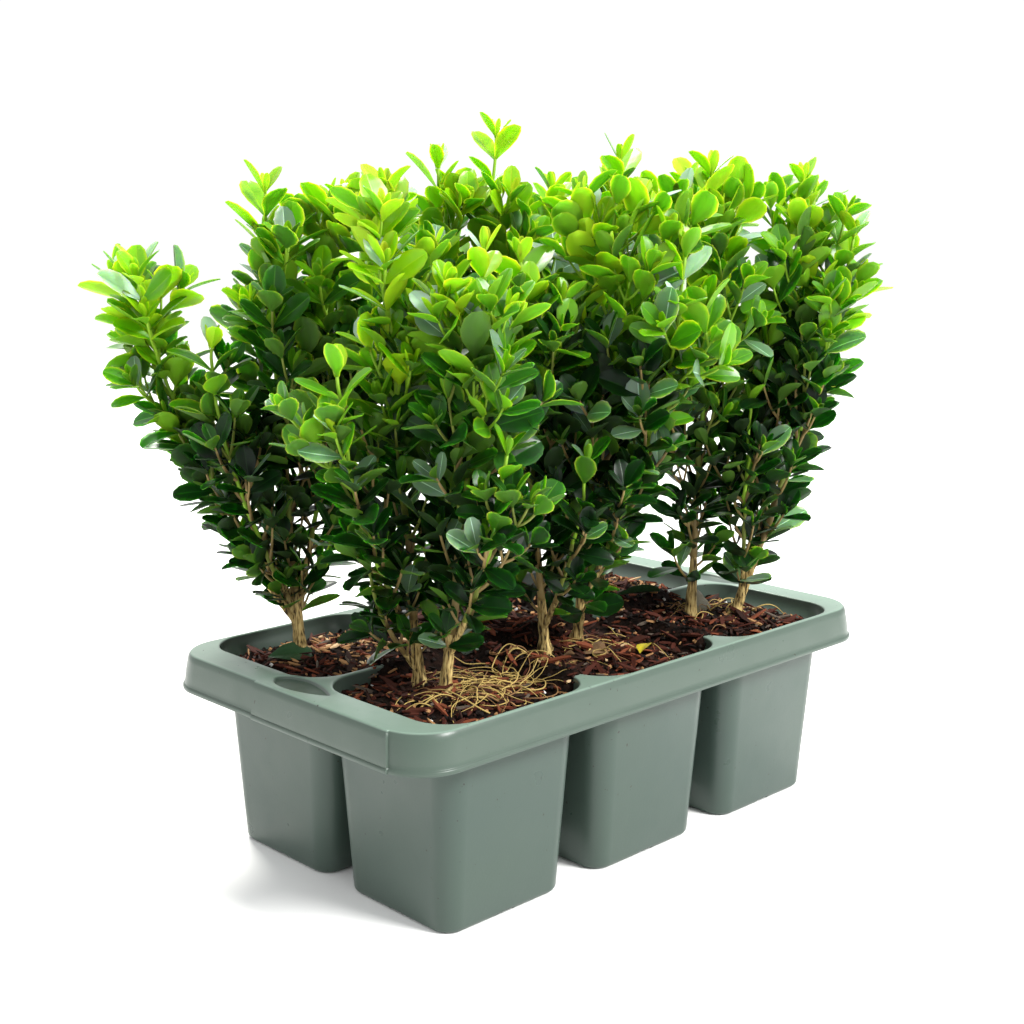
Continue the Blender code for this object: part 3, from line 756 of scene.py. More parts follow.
def soilHeight(x, y):
    # in the tray's own place: a mound in each cell that climbs to the ridges between the cells
    column = min(columnSide.values(), key=lambda side: abs(x - side * tray["pitch"][0]))
    middleX = column * tray["pitch"][0]
    middleY = math.copysign(tray["pitch"][1] / 2, y)
    u = (x - middleX) / (tray["top"][0] / 2)
    v = (y - middleY) / (tray["top"][1] / 2)
    low = tray["height"] - soil["belowRim"] + soil["mound"] * max(0, 1 - u * u) * max(0, 1 - v * v)
    return low + (tray["height"] + soil["overRidge"] - low) * ridgeClimb(x, y)


def groundHeight(x, y):
    # the top of the mulch
    return soilHeight(x, y) + soil["crest"] * ridgeClimb(x, y)


def roughness(x, y):
    return noise.fractal(Vector((x, y, 0)) * soil["lumps"], 0.8, 2.1, 3) * soil["rough"]


def makeSoil(row, column):
    heap = Heap()
    clear, top = soil["clear"], tray["height"]
    low = roundedRing(cellMiddle(row, column), *cellSize(top - tray["flare"], tray["wall"] + clear), top)
    middle, size = mouthOf(row, column)
    high = roundedRing(middle, [s - 2 * clear for s in size], tray["mouthCorner"], top)
    outline = []
    for a, b in zip(low, high):
        share = (soilHeight(*b.xy) - (top - tray["flare"])) / tray["flare"]
        outline.append(a.lerp(b, min(1, max(0, flareShare(max(0, share))))))
    centre = cellMiddle(row, column)
    rings = []
    for k in range(soil["rings"]):
        shrink = 1 - k / soil["rings"]
        ring = []
        for p in outline:
            flat = centre + (p.xy - centre) * shrink
            ring.append(Vector((*flat, soilHeight(*flat) + roughness(*flat) * min(1, 6 * (1 - shrink)))))
        rings.append(ring)
    walls = cellRings(row, column, tray["wall"] + clear, tray["floor"] + clear)[:-1]
    joinRings(heap, walls + rings, closed=False)
    first = len(heap.points) - len(outline)
    heap.faces.append(tuple(range(first, len(heap.points))))
    heap.slots.append(0)
    heap.points = [p + trayMiddle for p in heap.points]
    return heap.build(f"soil_{row}_{column}", [bpy.data.materials["pottingSoil"]])


def makeBed():
    # the mulch that buries the ridges between the cells
    heap = Heap()
    step = bed["cell"]
    columns, rows = (range(-round(half / step), round(half / step) + 1) for half in bed["half"])
    spot = {}
    for i in columns:
        for j in rows:
            x, y = i * step, j * step
            climb = ridgeClimb(x, y)
            if climb > bed["from"]:
                spot[i, j] = len(heap.points)
                sunk = bed["sunk"] * (1 - smoothStep(bed["from"], bed["full"], climb))
                z = groundHeight(x, y) + roughness(x, y) * bed["rougher"] - sunk
                heap.points.append(Vector((x, y, z)) + trayMiddle)
    for i, j in spot:
        corners = [spot.get(at) for at in ((i, j), (i + 1, j), (i + 1, j + 1), (i, j + 1))]
        if None not in corners:
            heap.faces.append(tuple(corners))
            heap.slots.append(0)
    return heap.build("mulchBed", [bpy.data.materials["pottingSoil"]])


def inBasin(x, y, margin=0):
    halfX, halfY, corner = chips["basin"]
    outX = max(0, abs(x) - (halfX - corner))
    outY = max(0, abs(y) - (halfY - corner))
    rounded = math.hypot(outX, outY) < corner - margin
    return rounded and abs(x) < halfX - margin and abs(y) < halfY - margin


def addShard(heap, rng, middle, ahead, normal, size, tint):
    # a splinter with ragged, thinner ends
    length, width, thick = size
    across = normal.cross(ahead).normalized()
    first = len(heap.points)
    for along, share in shard["stations"]:
        bend = rng.uniform(-shard["bend"], shard["bend"]) * width
        for sx, sz in ((-1, -1), (1, -1), (1, 1), (-1, 1)):
            half = width / 2 * share * rng.uniform(*shard["ragged"])
            high = thick / 2 * (0.5 + share / 2) * rng.uniform(*shard["uneven"])
            aside = across * (sx * half + bend)
            heap.points.append(middle + ahead * length * along + aside + normal * sz * high)
    faces = [(3, 2, 1, 0), (12, 13, 14, 15)]
    for k in range(0, 12, 4):
        faces += [(k + j, k + (j + 1) % 4, k + 4 + (j + 1) % 4, k + 4 + j) for j in range(4)]
    heap.faces.extend(tuple(first + c for c in face) for face in faces)
    heap.slots.extend([tint] * len(faces))


def chipKind(x, y, rng):
    inTan = y > chips["tanBehind"] and any(low <= x < high for low, high in chips["tanStretches"])
    inDark = x > chips["darkRightOf"] and y < 0
    tan = chips["tanShare"][0 if inTan else 1]
    dark = chips["darkShare"][0 if inDark else 1]
    pick = rng.random()
    kind = "tan" if pick < tan else "dark" if pick < tan + dark else "red"
    return kind, rng.choice(chips["kinds"][kind])


def addChip(heap, rng, x, y, names):
    # a splinter that lies on the ground at x, y, if it fits there
    kind, tint = chipKind(x, y, rng)
    length = rng.uniform(*chips["length"][kind]) * rng.uniform(*chips["lengthVaries"])
    turn = rng.uniform(0, math.tau)
    tilt = math.radians(max(-chips["mostTilt"], min(chips["mostTilt"], rng.gauss(0, chips["tilt"]))))
    ahead = Vector((math.cos(turn) * math.cos(tilt), math.sin(turn) * math.cos(tilt), math.sin(tilt)))
    ends = [(x + ahead.x * length * s, y + ahead.y * length * s) for s in (-0.5, 0.5)]
    if not all(inBasin(*end) for end in ends):
        return
    ground = groundHeight(x, y)
    if max(abs(groundHeight(*end) - ground) for end in ends) > chips["mostStep"]:
        return
    normal = ahead.cross(Vector((-ahead.y, ahead.x, rng.gauss(0, chips["roll"])))).normalized()
    lift = abs(math.sin(tilt)) * length * chips["tiltLift"] + rng.uniform(*chips["lift"])
    middle = Vector((x, y, ground + lift)) + trayMiddle
    width = max(chips["leastWidth"], length * rng.uniform(*chips["width"]))
    size = (length, width, rng.uniform(*chips["thick"]))
    addShard(heap, rng, middle, ahead, normal, size, names.index(tint))


def addCrumb(heap, rng, x, y, names):
    length = rng.uniform(*crumbs["size"])
    rare = "tanWood" if rng.random() < crumbs["tanShare"] else "darkBark"
    tint = rng.choice((*crumbs["tints"], rare))
    if rng.random() < crumbs["whiteShare"]:
        tint = "perlite"
    ahead = Vector((rng.uniform(-1, 1), rng.uniform(-1, 1), 0.3)).normalized()
    middle = Vector((x, y, groundHeight(x, y) + length * crumbs["rise"])) + trayMiddle
    size = (length, length * crumbs["width"], length * crumbs["thick"])
    addShard(heap, rng, middle, ahead, ahead.orthogonal().normalized(), size, names.index(tint))


def makeChips():
    heap = Heap()
    rng = random.Random(chips["seed"])
    names = list(chipTints)
    halfX, halfY, _ = chips["basin"]
    while len(heap.points) < shard["points"] * chips["count"]:
        addChip(heap, rng, rng.uniform(-halfX, halfX), rng.uniform(-halfY, halfY), names)
    while len(heap.points) < shard["points"] * (chips["count"] + crumbs["count"]):
        x, y = rng.uniform(-halfX, halfX), rng.uniform(-halfY, halfY)
        if inBasin(x, y, crumbs["fromEdge"]):
            addCrumb(heap, rng, x, y, names)
    made = [grained(name, colour, chipFinish) for name, colour in chipTints.items()]
    return heap.build("barkMulch", made, smooth=False)


rootlets = {
    "seed": 21,
    "tint": {"rootStraw": (0.47, 0.335, 0.105), "rootBrown": (0.22, 0.115, 0.045)},
    "brownShare": 0.25,
    "finish": {
        "roughness": 0.7,
        "specular": 0.3,
        "grain": 900,
        "detail": 2,
        "depth": 0.0003,
        "strength": 0.5,
    },
    "radius": (0.00022, 0.00046),
    "taper": 0.6,
    "sides": 5,
    "step": 0.0016,
    "leastSteps": 8,
    "curl": 90,
    "curlChange": 380,
    "curlEvery": 0.7,
    "arch": (0.0005, 0.0048),
    "lift": 0.0004,
    "gather": 0.8,  # how closely each patch is drawn together
    "patches": (
        # middle, spread, how many, length from and to
        ((-0.078, -0.050), 0.0105, 44, (0.018, 0.040)),
        ((-0.064, -0.042), 0.0100, 36, (0.016, 0.045)),
        ((-0.104, -0.043), 0.0080, 12, (0.012, 0.024)),
        ((-0.042, -0.040), 0.0090, 12, (0.016, 0.036)),
        ((-0.006, -0.043), 0.0070, 11, (0.014, 0.034)),
        ((0.030, -0.052), 0.0100, 7, (0.012, 0.026)),
        ((0.086, -0.036), 0.0100, 14, (0.010, 0.024)),
        ((0.108, -0.030), 0.0120, 24, (0.008, 0.020)),
    ),
}


def rootLine(rng, x, y, length, steps):
    # a root that curls over the mulch, now tighter and now straighter
    turn = rng.uniform(0, math.tau)
    curl = rng.gauss(0, rootlets["curl"])
    arch = rng.uniform(*rootlets["arch"])
    drift = Vector((rng.uniform(0, 50), 0, 0))
    line = []
    for k in range(steps + 1):
        rise = rootlets["lift"] + arch * math.sin(math.pi * k / steps)
        line.append(Vector((x, y, groundHeight(x, y) + rise)))
        curl += noise.noise(drift + Vector((k * rootlets["curlEvery"], 0, 0))) * rootlets["curlChange"]
        turn += curl * length / steps
        x += math.cos(turn) * length / steps
        y += math.sin(turn) * length / steps
    return line


def makeRootlets():
    # fine roots that have come up over the mulch
    heap = Heap()
    rng = random.Random(rootlets["seed"])
    for (middleX, middleY), spread, count, lengths in rootlets["patches"]:
        near = spread * rootlets["gather"]
        for _ in range(count):
            x, y = rng.gauss(middleX, near), rng.gauss(middleY, near)
            length = rng.uniform(*lengths)
            steps = max(rootlets["leastSteps"], round(length / rootlets["step"]))
            line = rootLine(rng, x, y, length, steps)
            if all(inBasin(p.x, p.y, rootlets["lift"]) for p in line):
                radius = rng.uniform(*rootlets["radius"])
                radii = [radius * (1 - rootlets["taper"] * k / steps) for k in range(steps + 1)]
                slot = 0 if rng.random() < 1 - rootlets["brownShare"] else 1
                tube(heap, [p + trayMiddle for p in line], radii, rootlets["sides"], slot)
    made = [grained(name, colour, rootlets["finish"]) for name, colour in rootlets["tint"].items()]
    return heap.build("rootlets", made)


litter = {
    # middle, height over the mulch, length, width share, turn, tilt and roll in degrees, bend, tint
    "yellowLeaf": ((0.0067, -0.0612), 0.0032, 0.0130, 0.55, 28, 20, -12, 0.30, "leafYellow"),
    "deadLeaf": ((-0.0040, -0.0510), 0.0020, 0.016, 0.72, 100, 18, -22, 0.6, "leafDead"),
    "curledLeaf": ((-0.0150, -0.0400), 0.0020, 0.014, 0.7, 170, 14, 40, 0.6, "leafDead"),
    "longLeaf": ((-0.1200, 0.0530), 0.0042, 0.022, 0.60, -20, 4, 24, 0.12, "leafOld"),
    "brownedLeaf": ((0.0790, -0.0290), 0.0030, 0.024, 0.62, 5, 14, 50, 0.25, "leafBrowned"),
    "middleLeaf": ((0.0150, -0.0050), 0.0030, 0.025, 0.5, 25, 12, 30, 0.1, "leafOld"),
    "sideLeaf": ((0.0560, -0.0010), 0.0030, 0.024, 0.55, -30, 14, -35, 0.2, "leafOld"),
}
litterTints = {
    "leafYellow": (0.52, 0.42, 0.02),
    "leafDead": (0.22, 0.13, 0.065),
    "leafOld": (0.018, 0.060, 0.020),
    "leafBrowned": (0.085, 0.070, 0.020),
}
litterCup = 0.2
litterFinish = {
    "roughness": 0.5,
    "specular": 0.4,
    "grain": 500,
    "detail": 3,
    "depth": 0.0006,
    "strength": 0.6,
}
stick = {
    "ends": ((0.0790, 0.0063), (0.1120, 0.0084)),
    "lift": 0.002,
    "wave": 0.0006,
    "radius": (0.0008, 0.0002),  # its mean, and how much it changes
    "steps": 10,
    "sides": 7,
}


def makeLitter():
    # fallen leaves
    table = []
    names = list(litterTints)
    for (x, y), lift, length, wide, turn, tilt, roll, bend, tint in litter.values():
        turn, tilt, roll = (math.radians(v) for v in (turn, tilt, roll))
        ahead = Vector((math.cos(turn) * math.cos(tilt), math.sin(turn) * math.cos(tilt), math.sin(tilt)))
        face = (upward - ahead * ahead.z).normalized()
        face = face * math.cos(roll) + ahead.cross(face) * math.sin(roll)
        place = Vector((x, y, groundHeight(x, y) + lift)) + trayMiddle
        shape = (wide / growth["leafWidth"], litterCup, bend)
        table.append((place, ahead, face, length, shape, names.index(tint)))
    tints = [grained(name, colour, litterFinish) for name, colour in litterTints.items()]
    return makeLeaves("fallenLeaves", table, tints, lambda tint: (tint, tint, tint))


def makeStick():
    heap = Heap()
    count = stick["steps"]
    ends = [Vector((x, y, groundHeight(x, y) + stick["lift"])) + trayMiddle for x, y in stick["ends"]]
    line = []
    for k in range(count + 1):
        line.append(ends[0].lerp(ends[1], k / count) + upward * stick["wave"] * math.sin(k))
    mean, change = stick["radius"]
    tube(heap, line, [mean + change * math.sin(k * 1.7) for k in range(count + 1)], stick["sides"], 0)
    return heap.build("dryStick", [bpy.data.materials["greyBark"]])


def pottingSoil():
    made = plain("pottingSoil", soilLooks["wet"], soilLooks["roughness"], soilLooks["specular"])
    tree, links, shader = treeOf(made)
    place = objectPlace(tree)
    patches = addNoise(tree, *soilLooks["patches"], place)
    colour = addRamp(tree, patches, [(0.35, soilLooks["wet"]), (0.7, soilLooks["dry"])])
    links.new(colour, shader.inputs["Base Color"])
    grain = addNoise(tree, *soilLooks["grain"], place)
    links.new(addBump(tree, grain, *soilLooks["bump"]), shader.inputs["Normal"])


# the six shrubs, measured from their cells' middles

shrubs = {
    # a trunk's foot, its tip and its height; a bough's trunk, how high up it starts, its tip and its height
    "back_left": {
        "trunks": [
            ((-0.012, 0.012), (-0.014, 0.028), 0.211),
        ],
        "boughs": [
            (0, 0.026, (-0.060, 0.058), 0.175),
            (0, 0.021, (-0.050, 0.021), 0.144),
            (0, 0.016, (-0.045, 0.050), 0.121),
            (0, 0.010, (-0.012, 0.037), 0.090),
            (0, 0.023, (0.018, 0.012), 0.207),
        ],
    },
    "front_left": {
        "trunks": [
            ((-0.003, 0.003), (0.001, -0.018), 0.187),
            ((-0.002, 0.020), (-0.021, 0.018), 0.209),
        ],
        "boughs": [
            (1, 0.020, (-0.047, 0.016), 0.139),
            (0, 0.020, (-0.003, -0.034), 0.108),
            (1, 0.009, (-0.028, 0.021), 0.056),
        ],
    },
    "front_middle": {
        "trunks": [
            ((-0.017, 0.017), (-0.035, 0.015), 0.182),
            ((0.006, 0.019), (-0.003, -0.010), 0.207),
        ],
        "boughs": [
            (1, 0.022, (0.012, -0.037), 0.184),
            (0, 0.014, (-0.024, -0.014), 0.095),
        ],
    },
    "front_right": {
        "trunks": [
            ((0.010, -0.003), (0.043, -0.042), 0.191),
            ((-0.010, 0.009), (-0.013, 0.000), 0.220),
        ],
        "boughs": [
            (0, 0.020, (0.036, -0.017), 0.216),
            (0, 0.011, (-0.002, -0.018), 0.112),
        ],
    },
    "back_middle": {
        "trunks": [
            ((0.000, 0.000), (0.008, -0.002), 0.238),
        ],
        "boughs": [
            (0, 0.026, (-0.015, 0.013), 0.223),
            (0, 0.021, (0.041, -0.009), 0.212),
            (0, 0.015, (0.005, 0.043), 0.180),
        ],
    },
    "back_right": {
        "trunks": [
            ((0.000, 0.000), (0.005, -0.005), 0.229),
        ],
        "boughs": [
            (0, 0.024, (-0.011, 0.025), 0.209),
            (0, 0.017, (0.047, -0.018), 0.218),
        ],
    },
}
limb = {
    "trunkShare": 0.15,  # share of a trunk's whole height that is bare limb
    "boughShare": 0.17,
    "trunkBow": 1.25,
    "boughBow": 1.7,
    "trunkRadius": (0.0029, 0.0019),
    "boughRadius": (0.0017, 0.0012),
    "boughRoot": 0.4,  # share of the trunk's radius, out from its middle, where a bough starts
    "tipRadius": 0.0007,
    "tipThins": 0.7,
    "flare": (0.0018, 0.009),
    "sides": 18,
    "step": 0.0011,
    "leastSteps": 8,
    "gap": 0.0003,
    "sharpFrom": 70,
}
bark = {
    "tan": (0.40, 0.275, 0.095),
    "straw": (0.66, 0.50, 0.20),
    "groove": (0.045, 0.030, 0.010),
    "roughness": 0.8,
    "specular": 0.3,
    "stretch": (1, 1, 0.2),
    "streaks": (900, 4),
    "patches": (120, 2),
    "patchShare": 0.55,
    "bump": (0.0006, 0.8),
    # the ridges and furrows of the mesh
    "relief": 0.20,
    "ridges": (700, 130),  # across the limb and along it
    "knobs": 210,
    "knobShare": 0.6,
}


def shootPoint(shoot, share):
    start, tip = shoot["start"], shoot["tip"]
    out = 1 - max(0, 1 - share) ** shoot["bow"]
    x = start.x + (tip.x - start.x) * out
    y = start.y + (tip.y - start.y) * out
    return Vector((x, y, start.z + (tip.z - start.z) * share))


def shootRadius(shoot, share):
    first, last = shoot["radius"]
    along = share / shoot["limbShare"]
    if along <= 1:
        radius = first + (last - first) * along
    else:
        beyond = (share - shoot["limbShare"]) / (1 - shoot["limbShare"])
        radius = last + (limb["tipRadius"] - last) * beyond ** limb["tipThins"]
    if shoot["kind"] == "trunk":
        up = share * (shoot["tip"].z - shoot["start"].z)
        extra, length = limb["flare"]
        radius += extra * max(0, 1 - up / length) ** 2
    return radius


def newShoot(kind, start, tip):
    return {
        "kind": kind,
        "start": start,
        "tip": tip,
        "bow": limb[f"{kind}Bow"],
        "limbShare": limb[f"{kind}Share"],
        "radius": limb[f"{kind}Radius"],
    }


def planShoots():
    planned = []
    for plant, parts in shrubs.items():
        row, column = plant.split("_")
        middle = trayMiddle + cellMiddle(row, column).to_3d()
        trunks = []
        for number, (foot, tip, rise) in enumerate(parts["trunks"], 1):
            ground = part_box(f"trunk_{plant}_{number}")[0].z
            start = Vector((middle.x + foot[0], middle.y + foot[1], ground))
            end = Vector((middle.x + tip[0], middle.y + tip[1], ground - limb["gap"] + rise))
            trunks.append(newShoot("trunk", start, end))
        boughs = []
        for which, height, tip, rise in parts["boughs"]:
            trunk = trunks[which]
            share = height / (trunk["tip"].z - trunk["start"].z)
            axis = shootPoint(trunk, share)
            end = Vector((middle.x + tip[0], middle.y + tip[1], trunk["start"].z + rise))
            outward = (end - axis).xy.normalized()
            reach = shootRadius(trunk, share) * limb["boughRoot"]
            start = Vector((axis.x + outward.x * reach, axis.y + outward.y * reach, axis.z))
            boughs.append(newShoot("bough", start, end))
        for number, shoot in enumerate(trunks + boughs, 1):
            shoot["plant"] = plant
            shoot["mass"] = f"foliage_{plant}_{number}"
            planned.append(shoot)
    return planned


def barkRelief(at):
    across, along = bark["ridges"]
    ridge = noise.noise(Vector((at.x * across, at.y * across, at.z * along)))
    return ridge + bark["knobShare"] * noise.noise(at * bark["knobs"])


def tube(heap, points, radii, sides, slot, relief=0, closeStart=True):
    # a round limb along points; the relief makes long ridges in its bark
    side = None
    rings = []
    for k, point in enumerate(points):
        ahead = (points[min(k + 1, len(points) - 1)] - points[max(k - 1, 0)]).normalized()
        if side is None:
            side = ahead.orthogonal().normalized()
        side = (side - ahead * side.dot(ahead)).normalized()
        other = ahead.cross(side)
        ring = []
        for step in range(sides):
            angle = 2 * math.pi * step / sides
            out = side * math.cos(angle) + other * math.sin(angle)
            reach = radii[k]
            if relief:
                reach *= 1 + relief * barkRelief(point + out * radii[k])
            ring.append(point + out * reach)
        rings.append(ring)
    first = len(heap.points)
    for ring in rings:
        heap.points.extend(ring)
    for k in range(len(rings) - 1):
        for j in range(sides):
            a, b = first + k * sides + j, first + k * sides + (j + 1) % sides
            heap.faces.append((a, b, b + sides, a + sides))
            heap.slots.append(slot(k / (len(rings) - 1)) if callable(slot) else slot)
    ends = [tuple(range(first + (len(rings) - 1) * sides, first + len(rings) * sides))]
    if closeStart:
        ends.append(tuple(reversed(range(first, first + sides))))
    for end in ends:
        heap.faces.append(end)
        heap.slots.append(slot(1) if callable(slot) else slot)


def barkSkin():
    made = plain("boxBark", bark["tan"], bark["roughness"], bark["specular"])
    tree, links, shader = treeOf(made)
    long = objectPlace(tree, bark["stretch"])
    streaks = addNoise(tree, *bark["streaks"], long)
    patches = addNoise(tree, *bark["patches"], long)
    colour = addRamp(tree, streaks, [(0.38, bark["groove"]), (0.49, bark["tan"]), (0.62, bark["straw"])])
    patchShare = addMap(tree, patches, 0.4, 0.7, 0, bark["patchShare"])
    links.new(addMix(tree, patchShare, colour, bark["groove"]), shader.inputs["Base Color"])
    links.new(addBump(tree, streaks, *bark["bump"]), shader.inputs["Normal"])


def makeBark(plant, shoots):
    heap = Heap()
    for shoot in shoots:
        length = (shootPoint(shoot, shoot["limbShare"]) - shoot["start"]).length
        count = max(limb["leastSteps"], round(length / limb["step"]))
        shares = [shoot["limbShare"] * k / count for k in range(count + 1)]
        points = [shootPoint(shoot, s) for s in shares]
        radii = [shootRadius(shoot, s) for s in shares]
        tube(heap, points, radii, limb["sides"], 0, bark["relief"])
    made = heap.build(f"bark_{plant}", [bpy.data.materials["boxBark"]], sharp=limb["sharpFrom"])
    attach(made, "root")
    nodes = [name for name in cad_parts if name.startswith((f"trunk_{plant}", f"bough_{plant}"))]
    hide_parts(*nodes)


# twigs and leaves

growth = {
    "seed": 8,
    "crownHeight": 0.22,  # a level runs from 0 at the rim to 1 this far above it
    "stemStep": 0.004,
    "stemSides": 10,
    "stemRelief": 0.10,
    # levels where a stem's bark turns olive, and green
    "stemGreen": {"trunk": (0.26, 0.38), "bough": (0.10, 0.22)},
    "wobble": 0.0016,  # how far a stem sways from its curve
    "swayEvery": 9,
    "swayShift": 9,  # where in the noise a stem's sway starts, at most
    "swayApart": 5.3,  # keeps its sway along X and along Y unlike
    "swayFrom": 6,  # steps over which the sway sets in
    "nodeSpacing": 0.0105,
    "firstNode": 0.4,
    "nodeTurn": 0.25,
    "bushyBelow": 0.62,  # up to this level every joint has side twigs, and every second one above
    "bareTop": 0.16,  # share of a stem below its tip with no side twigs
    "twigLength": ((0.0, 0.014), (0.2, 0.026), (0.45, 0.042), (0.75, 0.042), (1.0, 0.026)),  # by level
    "twigVaries": (0.6, 1.3),
    "twigLean": (34, 58),
    "twigRise": 12,
    "twigRadius": 0.0009,
    # turned aside by this angle, and this share as long
    "twigTries": ((0, 1), (0.6, 0.85), (-0.6, 0.85), (1.1, 0.6), (-1.1, 0.6)),
    "jointSpread": 1.25,
    "edgeFrom": (0.40, 0.75),  # share of the way out over which the crown's edge begins
    "outerShorter": ((0, 0.62), (0.35, 0.58), (0.6, 0.34), (1, 0.30)),  # by level, for a twig that leans out
    "innerLonger": 0.40,
    "ownReach": {
        # level, how much shorter outwards, how much longer inwards
        "foliage_back_left_1": ((0, 0.30, 0.1), (0.4, 0.80, 0.0), (1, 0.85, 0.0)),
        "foliage_back_left_2": ((0, 0.15, 0.3), (0.25, 0.40, 0.1), (0.42, 0.10, -0.30), (1, 0.0, -0.30)),
        "foliage_back_left_3": ((0, 0.30, 0.1), (0.3, 0.60, -0.1), (1, 0.60, -0.3)),
        "foliage_front_right_1": ((0, 0.92, 0.3), (0.6, 0.78, 0.3), (0.8, 0.05, 0.3)),
    },
    "belowTip": 0.015,  # side twigs stop this far below the tip of their stem
    "ownBelowTip": {
        # or this far; below 0 they pass the tip
        "foliage_back_left_2": -0.006,
        "foliage_back_left_3": 0.024,
        "foliage_back_left_6": -0.004,
        "foliage_front_left_2": 0.000,
        "foliage_front_right_1": -0.010,
        "foliage_front_right_2": 0.000,
        "foliage_front_right_3": 0.002,
        "foliage_front_middle_2": -0.004,
        "foliage_back_right_1": 0.004,
        "foliage_back_right_3": 0.002,
        "foliage_back_middle_1": 0.026,
        "foliage_back_middle_3": 0.012,
    },
    "twigWithin": 0.006,  # how far a twig's end stays inside the sides of the solids' box
    "leafBeyond": 0.001,  # how far a leaf may stand past them
    "overTop": 0.004,
    "lowestLeaf": 0.004,
    "roomCell": 0.005,
    "leafApart": 0.0026,
    "twigApart": 0.0019,
    "pairSpread": (1.15, 0.72),  # at the lowest level and at the highest
    "leafLength": (0.0160, 0.0220),
    "leafWidth": 0.57,
    # by level, from 0 for the darkest leaves to 1 for the lightest: partly the lighter new growth at the
    # top, and partly painted light on the top of the crown and painted shade lower down
    "tone": ((0, 0.05), (0.25, 0.16), (0.5, 0.53), (0.62, 0.72), (0.75, 0.86), (1, 0.90)),
    "ownTone": {"front_left": 0.09, "back_left": -0.05},
    "tipLighter": 0.06,
    "innerShade": 0.25,  # painted shade: how much darker leaves get deep inside the crown
    "shadeDepth": (0.045, 0.09),  # how deep that is from its sides and from its top
    "twigChange": 0.12,  # how much one twig's leaves differ from the next's
    "leafChange": 0.10,
    "youngTip": 0.15,  # how much lighter a shoot's last leaves are
    "toneSteps": (0.97, 0.80, 0.66, 0.52, 0.39, 0.26, 0.13),  # a leaf takes the first tint it passes
    "sheen": (0.24, 0.08),  # share of leaves given a painted sky reflection on their face, at the top and below
    "paintedSheenPaleFrom": 0.62,
}
twigRule = {
    "shortest": 0.006,
    "step": 0.005,
    "leastSteps": 4,
    "rise": (0.7, 1.25),
    "tipRadius": 0.0005,
    "sides": 6,
    "greenFrom": (0.08, 0.28),  # tones from which its bark is olive, and green
    "pairSpacing": 0.0088,
    "firstPair": 0.75,
    "turnVaries": 0.2,
    "leafSize": (0.80, 0.25),  # at its ends, and how much more halfway
    "spread": (1.05, 0.3),  # at its foot, and how much less at its tip
    "tipLighter": 0.10,
    # finer twigs at the second and fourth joint of a long one
    "finerPairs": (1, 3),
    "finerFrom": 0.024,
    "finerLean": (38, 55),
    "finerLength": (0.38, 0.6),
    "finerRadius": 0.75,
    "finerDarker": 0.02,
}
lowTwigs = {
    "from": 0.015,
    "every": 0.0064,
    "everyVaries": (0.6, 1.4),
    "turn": 2.4,
    "ahead": 0.02,
    "length": (0.011, 0.022),
    "lean": (50, 74),
    # dark: old leaves low down, and painted shade
    "tone": 0.07,
    "radius": 0.0007,
}
leafRule = {
    "length": (0.78, 1.22),
    "spread": (-0.16, 0.16),
    "roll": (-0.35, 0.35),
    "width": (0.88, 1.10),
    "cup": (0.05, 0.36),
    "droop": (-0.08, 0.18),
    "sizes": (1.0, 0.8),
    # turned aside by this angle, and this share as spread
    "tries": ((0, 1), (0.35, 1), (-0.35, 1), (0, 0.7), (0.6, 0.8), (-0.6, 0.8)),
    "lowestAim": -0.35,
    "toLight": 0.55,
    "probes": (0.45, 0.72, 1.0),
    "probeSides": 0.6,
}
tipRule = {
    "openSpread": 0.59,
    "openSize": 0.72,
    "closedFrom": 0.45,  # level above which every tip has closed young leaves
    "closedShare": 0.4,  # share of the tips that have them below it
    "closedSize": (0.42, 0.6),
    "closedLean": 0.26,
    "closedWidth": (0.55, 0.75),
    "closedCup": 0.3,
    "closedDroop": -0.05,
    "closedApart": 0.0007,
    "closedLighter": 0.10,
}
# from young growth to old dark leaves; each leaf's pick also carries painted light and shade from its level
# and depth in the crown
leafTints = {
    "leafBud": (0.33, 0.41, 0.012),
    "leafLime": (0.225, 0.42, 0.003),
    "leafBright": (0.170, 0.37, 0.002),
    "leafFresh": (0.097, 0.28, 0.002),
    "leafMid": (0.047, 0.165, 0.004),
    "leafDeep": (0.016, 0.074, 0.007),
    "leafDark": (0.0065, 0.032, 0.005),
    "leafShade": (0.0025, 0.012, 0.003),
    # painted reflections: leaf faces tinted pale as if they caught the sky
    "sheenPale": (0.36, 0.56, 0.38),
    "sheenDeep": (0.105, 0.190, 0.105),
}
underTints = {
    "underLime": (0.27, 0.47, 0.008),
    "underFresh": (0.12, 0.28, 0.008),
    "underMid": (0.050, 0.12, 0.012),
    "underDark": (0.012, 0.028, 0.007),
}
twigTints = {
    "stemBark": (0.27, 0.19, 0.07),
    "stemOlive": (0.20, 0.24, 0.04),
    "stemGreen": (0.22, 0.40, 0.02),
}
# for each upper tint in turn, the number of its midrib's tint and of its underside's
leafRibs = (0, 0, 1, 2, 3, 4, 5, 6, 8, 8)
leafBacks = (0, 0, 0, 1, 1, 2, 2, 3, 1, 2)
leafFinish = {
    "roughness": 0.30,
    "specular": 0.34,
    "grain": 260,
    "detail": 0,
    "depth": 0.0004,
    "strength": 0.30,
}
underFinish = {**leafFinish, "roughness": 0.55, "specular": 0.2}
stemFinish = {**leafFinish, "roughness": 0.55, "specular": 0.35}
dullLeaves = {"below": 0.1, "share": 0.6}  # tints darker than this shine less
leafGlow = {
    "Subsurface_Weight": 0.62,
    "Subsurface_Radius": (0.55, 1.0, 0.12),
    "Subsurface_Scale": 0.0020,
}
crownTop = cadBox[1][2]


def levelOf(point):
    return min(1, max(0, (point.z - tray["height"]) / growth["crownHeight"]))


def roomInside(point):
    # how far a point is inside the sides of the solids' box
    low, high = cadBox
    return min(point.x - low[0], high[0] - point.x, point.y - low[1], high[1] - point.y)


